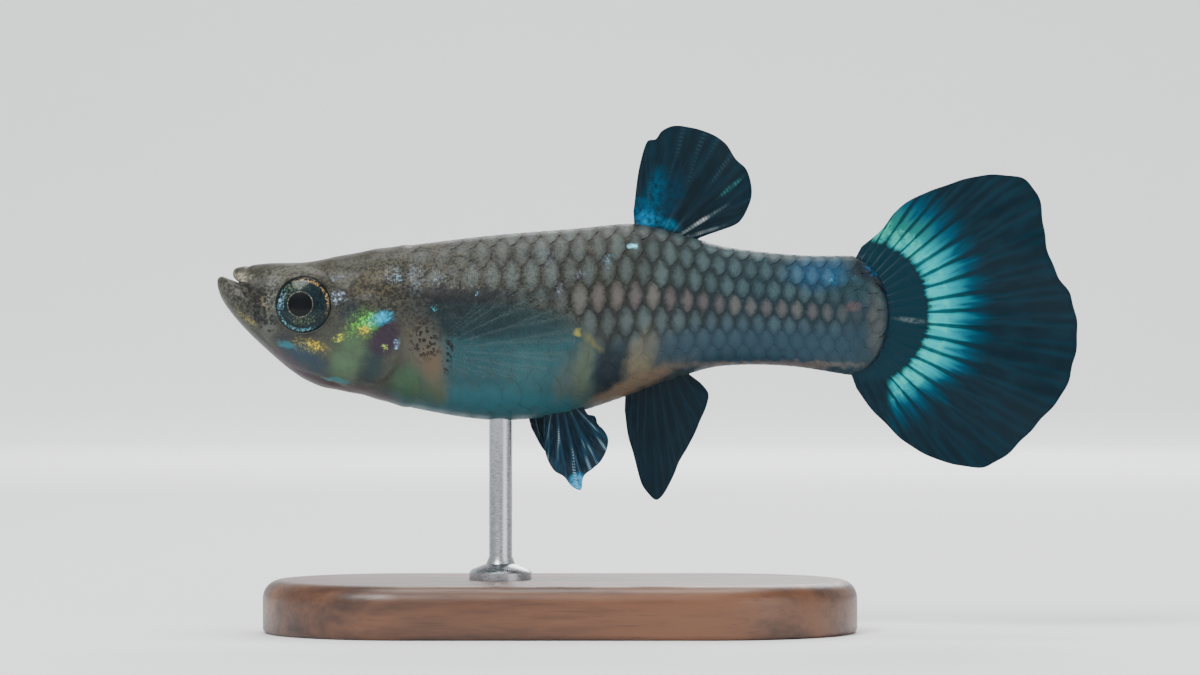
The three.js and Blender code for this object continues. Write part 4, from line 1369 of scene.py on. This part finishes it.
@dataclass
class Fin:
    """A thin fin on branching rays between its root in the body and its outer edge."""

    name: str
    root: Sequence[Point]
    edge: Sequence[Point]
    place: Callable[[np.ndarray, np.ndarray, np.ndarray], np.ndarray]
    slot: str
    rays: int = 9
    columns: int = 150
    rows: int = 40
    thickness: float = 0.07
    ridge: float = 0.035
    notch: float = 0.003
    branches: bool = True
    sways: bool = False
    root_swell: float = 0.1
    swell_reach: float = 0.25
    thinning: float = 0.65

    def ray_mask(self, u: np.ndarray, v: np.ndarray) -> np.ndarray:
        """Returns 1 on the rays and 0 between them; each ray forks on its way out."""
        wave = 0.5 + 0.5 * np.cos(2 * np.pi * self.rays * u)
        single = wave ** 5
        if not self.branches:
            return single
        fork = ease(v, 0.3, 0.85)
        spread = 0.19 * fork
        phase = (self.rays * u + 0.5) % 1.0 - 0.5
        pair = np.exp(-((np.abs(phase) - spread) / 0.11) ** 2)
        return np.maximum(single * (1 - fork), pair)

    def build(self, material: bpy.types.Material) -> bpy.types.Object:
        """Builds the fin and dresses it."""
        fin, u, v = grid(self.name, self.columns, self.rows)
        root, edge = side_curve(self.root, u), side_curve(self.edge, u)
        out = v[:, None] * (1 + self.notch * (np.cos(2 * np.pi * self.rays * u) - 1) * v ** 4)[:, None]
        flat = root + (edge - root) * out
        points = np.stack([flat[:, 0], self.place(flat[:, 0], flat[:, 1], v), flat[:, 1]], axis=-1)
        if self.sways:
            points = FORM.sway(points)
        place_points(fin, to_world(points))
        fin.data.uv_layers[0].name = RAY_MAP
        single = len(fin.data.vertices)
        apply_modifier(fin, "SOLIDIFY", thickness=self.thickness * MILLIMETRE, offset=0.0)
        ray = np.tile(self.ray_mask(u, v), 2)
        outward = np.tile(v, 2)
        normals = normals_of(fin)
        swell = self.root_swell * (1 - ease(outward, 0.0, self.swell_reach))
        height = self.ridge * ray * (1 - self.thinning * outward) + swell
        side = np.where(np.arange(2 * single) < single, 1.0, -1.0)
        facing = np.sign(np.sum(normals[:, 1] * side)) or 1.0
        moved = points_of(fin)
        moved[:, 1] += side * facing * height * MILLIMETRE
        place_points(fin, moved)
        set_value(fin, "Ray", ray)
        set_value(fin, "Gap", np.tile((0.5 - 0.5 * np.cos(2 * np.pi * self.rays * u)) ** 7, 2))
        corners = corner_vertices(fin)
        layout = np.stack([np.tile(u, 2) * 0.48, outward], axis=-1)[corners]
        layout[:, 0] += np.where(corners < single, 0.0, 0.51)
        set_map(fin, BAKE_MAP, layout)
        with editing(fin):
            bpy.ops.mesh.normals_make_consistent(inside=False)
        smooth(fin, 50)
        return finish_piece(fin, material, self.slot, self.name)


@dataclass
class Fins:
    """All seven fins with their finishes."""

    spot: bpy.types.NodeTree
    root_depth: float = 0.3
    dark: FinFinish = FinFinish("dark_fin_membrane", colour(0, 16, 25), colour(0, 36, 50), colour(0, 20, 30),
                                clearness=0.03, bead_share=0.0)

    def along_body(self, line: Line, stations: Sequence[float], sink: float) -> list[Point]:
        """Returns a root along the back or belly, sunk into the body."""
        return [(x, float(line(x)) + sink) for x in stations]

    def dorsal(self) -> Fin:
        """The dorsal fin: a tall front lobe and a rounded rear lobe."""
        edge = ((25.25, 6.1), (25.57, 8.61), (26.06, 10.3), (26.6, 10.5), (26.97, 11.0), (27.6, 11.27),
                (28.4, 11.25), (29.33, 11.05), (30.78, 10.3), (31.45, 9.27), (32.12, 8.67), (32.4, 7.7),
                (32.36, 6.73), (31.75, 5.55), (30.97, 5.12), (29.6, 4.82))
        root = self.along_body(FORM.back, (25.3, 27, 28.9), -self.root_depth)
        return Fin("dorsal_fin", root, edge, lambda x, z, out: 0.22 * out * np.sin((x - 25.3) * 1.15),
                   "dark_fin", rays=8, columns=192, rows=56)

    def anal(self) -> Fin:
        """The anal fin: a narrow fan below the tail stem."""
        edge = ((24.72, -6.0), (24.91, -7.45), (25.27, -8.73), (25.69, -10.3), (26.24, -11.15),
                (26.66, -11.4), (27.21, -10.85), (27.69, -9.88), (28.12, -8.91), (28.79, -7.76),
                (29.27, -6.67), (29.63, -5.82), (29.8, -4.95), (29.3, -4.3))
        root = self.along_body(FORM.belly, (24.75, 26.5, 28.4), self.root_depth)
        return Fin("anal_fin", root, edge, lambda x, z, out: -0.18 * out * np.sin((x - 24.75) * 1.15),
                   "dark_fin", rays=9, columns=180, rows=56)

    def caudal(self) -> Fin:
        """The tail fin: a broad fan round the tail stem."""
        turns = np.radians(np.linspace(80, -88, 13))
        root = [(38.3 + 2.1 * math.cos(turn), -0.18 + 3.45 * math.sin(turn)) for turn in turns]
        edge = ((39.05, 3.95), (40.24, 4.95), (41.09, 6.06), (42.12, 6.85), (43.94, 7.6), (45.81, 8.18),
                (47.15, 8.32), (48.7, 8.14), (49.51, 7.45), (49.87, 6.61), (50.24, 3.88), (50.9, 2.18),
                (51.7, 0.9), (52.12, -1.2), (51.87, -3.03), (51.27, -4.79), (50.24, -6.12), (48.06, -8.48),
                (46.9, -9.25), (46.0, -9.45), (44.48, -9.2), (43.09, -8.73), (41.51, -7.76), (40.5, -6.75),
                (39.63, -5.88), (38.75, -4.65))
        return Fin("caudal_fin", root, edge, lambda x, z, out: 0 * x, "bright_fin", rays=22, columns=440,
                   rows=84, ridge=0.02, sways=True)

    def pelvic(self, side: int) -> Fin:
        """A pelvic fin; the far one is set forward and swept back more."""
        sweep, shift = (math.radians(24), -1.0) if side == RIGHT else (0.0, 0.0)
        hinge = (19.76, -6.5)
        edge = []
        for x, z in ((19.8, -7.1), (19.94, -8.6), (20.42, -9.57), (21.03, -9.94), (21.51, -10.54),
                     (22.06, -10.73), (22.25, -9.95), (22.8, -9.45), (23.3, -9.0), (23.6, -8.4),
                     (23.72, -7.7), (23.45, -7.15), (22.9, -6.85)):
            dx, dz = x - hinge[0], z - hinge[1]
            turned = hinge[0] + shift + dx * math.cos(sweep) - dz * math.sin(sweep)
            fallen = hinge[1] + dx * math.sin(sweep) + dz * math.cos(sweep)
            edge.append((turned, min(fallen, float(FORM.belly(turned)) - 0.45)))
        root = self.along_body(FORM.belly, (19.85 + shift, 21 + shift, 22.2 + shift), self.root_depth)
        return Fin(sided("pelvic_fin", side), root, edge, lambda x, z, out: side * (
            0.62 + 0.16 * np.maximum(FORM.belly(x) - z, 0)), "dark_fin", rays=6, columns=120, rows=40)

    def pectoral(self, side: int) -> Fin:
        """A pectoral fin: a clear fan held up and away from the flank."""
        edge = ((14.6, -0.45), (16.6, 0.7), (18.2, 1.45), (19.4, 1.6), (20.6, 0.95), (21.6, -0.1),
                (21.9, -1.3), (21.2, -2.6), (19.6, -3.6), (17.4, -4.0), (15.1, -3.75))
        root = ((13.9, -1.1), (14.2, -2.1), (14.25, -3.1))

        def place(x: np.ndarray, z: np.ndarray, out: np.ndarray) -> np.ndarray:
            """Starts inside the flank and leans away from it."""
            free = float(FORM.half(14.1)) + 0.5 + 0.3 * np.maximum(x - 14.1, 0) ** 0.9
            return side * (free - 0.75 * (1 - ease(out, 0.0, 0.2)))

        return Fin(sided("pectoral_fin", side), root, edge, place, "clear_fin", rays=11, columns=198,
                   rows=44, thickness=0.04, ridge=0.008)

    def build(self) -> list[bpy.types.Object]:
        """Builds and dresses every fin."""
        dorsal = FinFinish(
            "dorsal_membrane", colour(0, 18, 27), colour(0, 40, 54), colour(0, 22, 32), clearness=0.03,
            bead_tone=colour(120, 140, 146), bead_share=0.06, glow=(
                flecks(25.9, 6.1, 0.9, 0.8, -14, (0, 74, 104), 0.9, 0.9),
                flecks(26.0, 5.6, 0.55, 0.4, -14, (0, 124, 176), 0.95, 0.8),
                flecks(27.2, 5.35, 0.7, 0.3, -18, (0, 96, 128), 0.9, 0.8),
                flecks(26.6, 7.4, 0.5, 1.1, -12, (0, 72, 100), 0.8, 0.9),
                flecks(27.6, 7.0, 0.5, 1.3, -20, (0, 50, 74), 0.7, 0.9),
                dots(29.2, 5.4, 1.5, 0.10, 32, (110, 122, 124), 0.7, 0.8),
                dots(29.4, 5.55, 0.4, 0.10, 32, (176, 176, 176), 0.7, 0.8),
                dots(31.2, 7.6, 0.9, 0.12, 40, (40, 110, 110), 0.6, 0.6),
                dots(29.4, 4.82, 1.1, 0.09, 17, (104, 116, 120), 0.7, 0.8)))
        pelvic = FinFinish(
            "pelvic_membrane", colour(0, 16, 26), colour(20, 60, 80), colour(0, 20, 34),
            clearness=0.08, bead_tone=colour(150, 176, 186), bead_share=0.9, ray_share=0.55, glow=(
                flecks(21.9, -10.3, 0.5, 0.5, 0, (60, 170, 220), 0.8, 0.5),))
        caudal = FinFinish("tail_fin_membrane", colour(0, 24, 34), colour(0, 42, 57), colour(0, 23, 33),
                           bead_share=0.0, clearness=0.02, bright_band=True)
        clear = FinFinish("clear_membrane", colour(44, 70, 72), colour(92, 110, 106), colour(44, 70, 72),
                          clearness=0.99, bead_share=0.0, clear_root=0.99, clear_ray=0.94, ray_share=0.8,
                          relief=0.01)
        pieces = [self.dorsal().build(dorsal.material(self.spot)),
                  self.anal().build(self.dark.material(self.spot)),
                  self.caudal().build(caudal.material(self.spot))]
        pelvic_material, clear_material = pelvic.material(self.spot), clear.material(self.spot)
        for side in (LEFT, RIGHT):
            pieces.append(self.pelvic(side).build(pelvic_material))
            pieces.append(self.pectoral(side).build(clear_material))
        return pieces


@dataclass
class Eyes:
    """Both eyeballs, with a low clear dome that stands just out of the socket."""

    bulge: float = 0.46
    depth: float = 0.9
    lens_rise: float = 0.05
    lens_reach: float = 0.8
    sink: float = 0.02

    def build(self, material: bpy.types.Material) -> list[bpy.types.Object]:
        """Builds both eyes and dresses them."""
        eyes = []
        for side in (LEFT, RIGHT):
            deselect()
            bpy.ops.mesh.primitive_uv_sphere_add(segments=96, ring_count=48, radius=1)
            eye = named(sided("glass_eye", side))
            ball = points_of(eye)
            points = np.stack([SEAT.x + SEAT.radius * ball[:, 0], 0 * ball[:, 0],
                               SEAT.z + SEAT.radius * ball[:, 1]], axis=-1)
            rise = np.where(ball[:, 2] > 0, self.bulge, self.depth) * ball[:, 2]
            pupil = np.hypot(points[:, 0] - EyeFinish().pupil_x, points[:, 2] - EyeFinish().pupil_z)
            rise = rise + self.lens_rise * np.exp(-(pupil / self.lens_reach) ** 4) * (ball[:, 2] > 0)
            points[:, 1] = side * (SEAT.rim_plane(points) - self.sink + rise)
            place_points(eye, to_world(points))
            with editing(eye):
                bpy.ops.mesh.normals_make_consistent(inside=False)
            smooth(eye)
            eyes.append(finish_piece(eye, material, "eye", sided("eye", side)))
        return eyes


@dataclass
class Stand:
    """A flat oblong wooden base and a steel rod that enters the belly. Sizes in millimetres."""

    length: float = 36.0
    width: float = 18.0
    thickness: float = 3.2
    bevel: float = 0.3
    shoulder: float = 1.1
    rod_x: float = -3.6
    rod_radius: float = 0.7
    foot_radius: float = 1.9
    foot_thickness: float = 0.6
    entry: float = 0.75

    def base(self, material: bpy.types.Material) -> bpy.types.Object:
        """Models the base: a short cylinder drawn out to an oblong with softened edges."""
        deselect()
        bpy.ops.mesh.primitive_cylinder_add(
            vertices=128, radius=self.width / 2 * MILLIMETRE, depth=self.thickness * MILLIMETRE,
            location=(0, 0, self.thickness / 2 * MILLIMETRE))
        base = named("stand_plinth")
        bpy.ops.object.transform_apply(location=True, rotation=True, scale=True)
        points = points_of(base)
        straight = (self.length - self.width) / 2 * MILLIMETRE
        points[:, 0] += straight * np.sign(points[:, 0] + 1e-9)
        place_points(base, points)
        for height, offset, segments in ((self.thickness, self.shoulder, 8), (0.0, self.bevel, 3)):
            self.soften(base, height * MILLIMETRE, offset * MILLIMETRE, segments)
        with editing(base):
            bpy.ops.mesh.normals_make_consistent(inside=False)
        smooth(base, 40)
        return finish_piece(base, material, "stand_wood", "stand_base")

    def soften(self, piece: bpy.types.Object, height: float, offset: float, segments: int) -> None:
        """Rounds the edge loop of a piece at a height."""
        with editing(piece):
            bpy.ops.mesh.select_all(action="DESELECT")
            bpy.ops.object.mode_set(mode="OBJECT")
            for edge in piece.data.edges:
                ends = [piece.data.vertices[v].co.z for v in edge.vertices]
                edge.select = all(abs(z - height) < MERGE_DISTANCE for z in ends)
            bpy.ops.object.mode_set(mode="EDIT")
            bpy.ops.mesh.select_mode(type="EDGE")
            bpy.ops.mesh.bevel(offset=offset, segments=segments, profile=0.5, affect="EDGES")
            bpy.ops.mesh.select_mode(type="VERT")

    def rod(self, material: bpy.types.Material) -> bpy.types.Object:
        """Models the rod: a flat foot, a short cone and the rod itself, drawn up in steps."""
        deselect()
        bottom = self.thickness * MILLIMETRE
        bpy.ops.mesh.primitive_circle_add(
            vertices=48, radius=self.foot_radius * MILLIMETRE, fill_type="NGON",
            location=(self.rod_x * MILLIMETRE, 0, bottom))
        rod = named("stand_stem")
        bpy.ops.object.transform_apply(location=True, rotation=True, scale=True)
        top = AXIS_HEIGHT + float(FORM.belly(self.rod_x + JAW_TIP_TO_ORIGIN)) + self.entry
        rim = self.foot_thickness * 0.7
        steps = ((rim, 1.0), (self.foot_thickness - rim, 0.93), (0.35, 0.5), (0.45, self.rod_radius / (
            self.foot_radius * 0.93 * 0.5)), (top - self.thickness - self.foot_thickness - 0.8, 1.0))
        centre = (self.rod_x * MILLIMETRE, 0, 0)
        with editing(rod):
            for rise, shrink in steps:
                bpy.ops.mesh.extrude_region_move(TRANSFORM_OT_translate={"value": (0, 0, rise * MILLIMETRE)})
                bpy.ops.transform.resize(value=(shrink, shrink, 1), center_override=centre)
            bpy.ops.mesh.select_all(action="SELECT")
            bpy.ops.mesh.normals_make_consistent(inside=False)
        smooth(rod, 35)
        return finish_piece(rod, material, "stand_steel", "stand_rod")


@dataclass
class Studio:
    """A pale round stage, soft lights and the camera at the photo's side view."""

    floor_radius: float = 0.55
    curve_radius: float = 0.5
    wall_height: float = 0.9
    camera_place: tuple[float, float, float] = (0.00242, -0.303, 0.01785)
    lens: float = 150.0

    def stage(self) -> None:
        """Models a round floor that curves up into a wall, step by step."""
        deselect()
        bpy.ops.mesh.primitive_circle_add(vertices=96, radius=self.floor_radius, fill_type="NGON")
        stage = named("pale_stage")
        steps, radius, height = 12, self.floor_radius, 0.0
        with editing(stage):
            for step in range(1, steps + 2):
                turn = math.radians(90 * min(step, steps) / steps)
                new_radius = self.floor_radius + self.curve_radius * math.sin(turn)
                new_height = self.curve_radius * (1 - math.cos(turn))
                if step > steps:
                    new_height = self.wall_height
                bpy.ops.mesh.select_mode(type="EDGE")
                if step == 1:
                    bpy.ops.mesh.region_to_loop()
                rise = {"value": (0, 0, new_height - height)}
                bpy.ops.mesh.extrude_edges_move(TRANSFORM_OT_translate=rise)
                grow = new_radius / radius
                bpy.ops.transform.resize(value=(grow, grow, 1), center_override=(0, 0, 0))
                radius, height = new_radius, new_height
            bpy.ops.mesh.select_all(action="SELECT")
            bpy.ops.mesh.normals_make_consistent(inside=True)
        smooth(stage, 40)
        material, brush, shader = new_material("pale_ground")
        place = brush.node("TexCoord").outputs["Object"]
        cloud = brush.noise(place, 6.0, 3.0)
        pale = brush.mix(cloud, colour(236, 237, 238), colour(242, 243, 244))
        brush.feed(shader.inputs["Base Color"], pale)
        shader.inputs["Roughness"].default_value = 0.85
        stage.data.materials.append(material)

    def light(self, name: str, place: tuple[float, float, float], size: float, power: float,
              aim_at: tuple[float, float, float] = (0, 0, AXIS_HEIGHT * MILLIMETRE)) -> None:
        """Adds a soft round light that faces a place, as a rule the fish."""
        deselect()
        bpy.ops.object.light_add(type="AREA", location=place)
        lamp = bpy.context.object
        lamp.name = name
        lamp.data.shape = "DISK"
        lamp.data.size = size
        lamp.data.energy = power
        aim = np.array(aim_at) - np.array(place)
        flat = math.hypot(aim[0], aim[1])
        lamp.rotation_euler = (math.atan2(flat, -aim[2]), 0, math.atan2(aim[1], aim[0]) - math.pi / 2)

    def build(self) -> None:
        """Builds the stage, the lights and the camera."""
        self.stage()
        self.light("key", (-0.22, -0.34, 0.42), 0.28, 3.2)
        self.light("fill", (0.36, -0.36, 0.16), 0.4, 0.8)
        self.light("top", (0.02, 0.06, 0.55), 0.35, 2.2)
        self.light("behind", (0.1, 0.42, 0.3), 0.3, 1.6)
        self.light("wall", (0.0, 0.4, 0.35), 0.3, 2.4, (0.0, 1.0, 0.12))
        world = bpy.data.worlds.new("pale_room")
        bpy.context.scene.world = world
        world.use_nodes = True
        background = world.node_tree.nodes["Background"]
        background.inputs["Color"].default_value = (0.86, 0.88, 0.9, 1)
        background.inputs["Strength"].default_value = 0.36
        deselect()
        bpy.ops.object.camera_add(location=self.camera_place, rotation=(math.pi / 2, 0, 0))
        camera = bpy.context.object
        camera.name = "side_camera"
        camera.data.lens = self.lens
        camera.data.sensor_width = 36.0
        camera.data.clip_start = 0.01
        camera.data.clip_end = 10.0
        bpy.context.scene.camera = camera


def main() -> None:
    """Builds every piece in order and reports each."""
    logging.basicConfig(level=logging.INFO, format="%(name)s %(message)s")
    Studio().build()
    pattern = BodyPattern().group()
    spot = bpy.data.node_groups["soft_spot"]
    skin = Skin()
    skin.build(MoistSkin(pattern).material())
    ScaleCoat(skin).build(ScaleFinish(pattern).material())
    Eyes().build(EyeFinish().material(spot))
    Fins(spot).build()
    stand = Stand()
    stand.base(WoodFinish().material())
    stand.rod(SteelFinish().material())


if __name__ == "__main__":
    main()
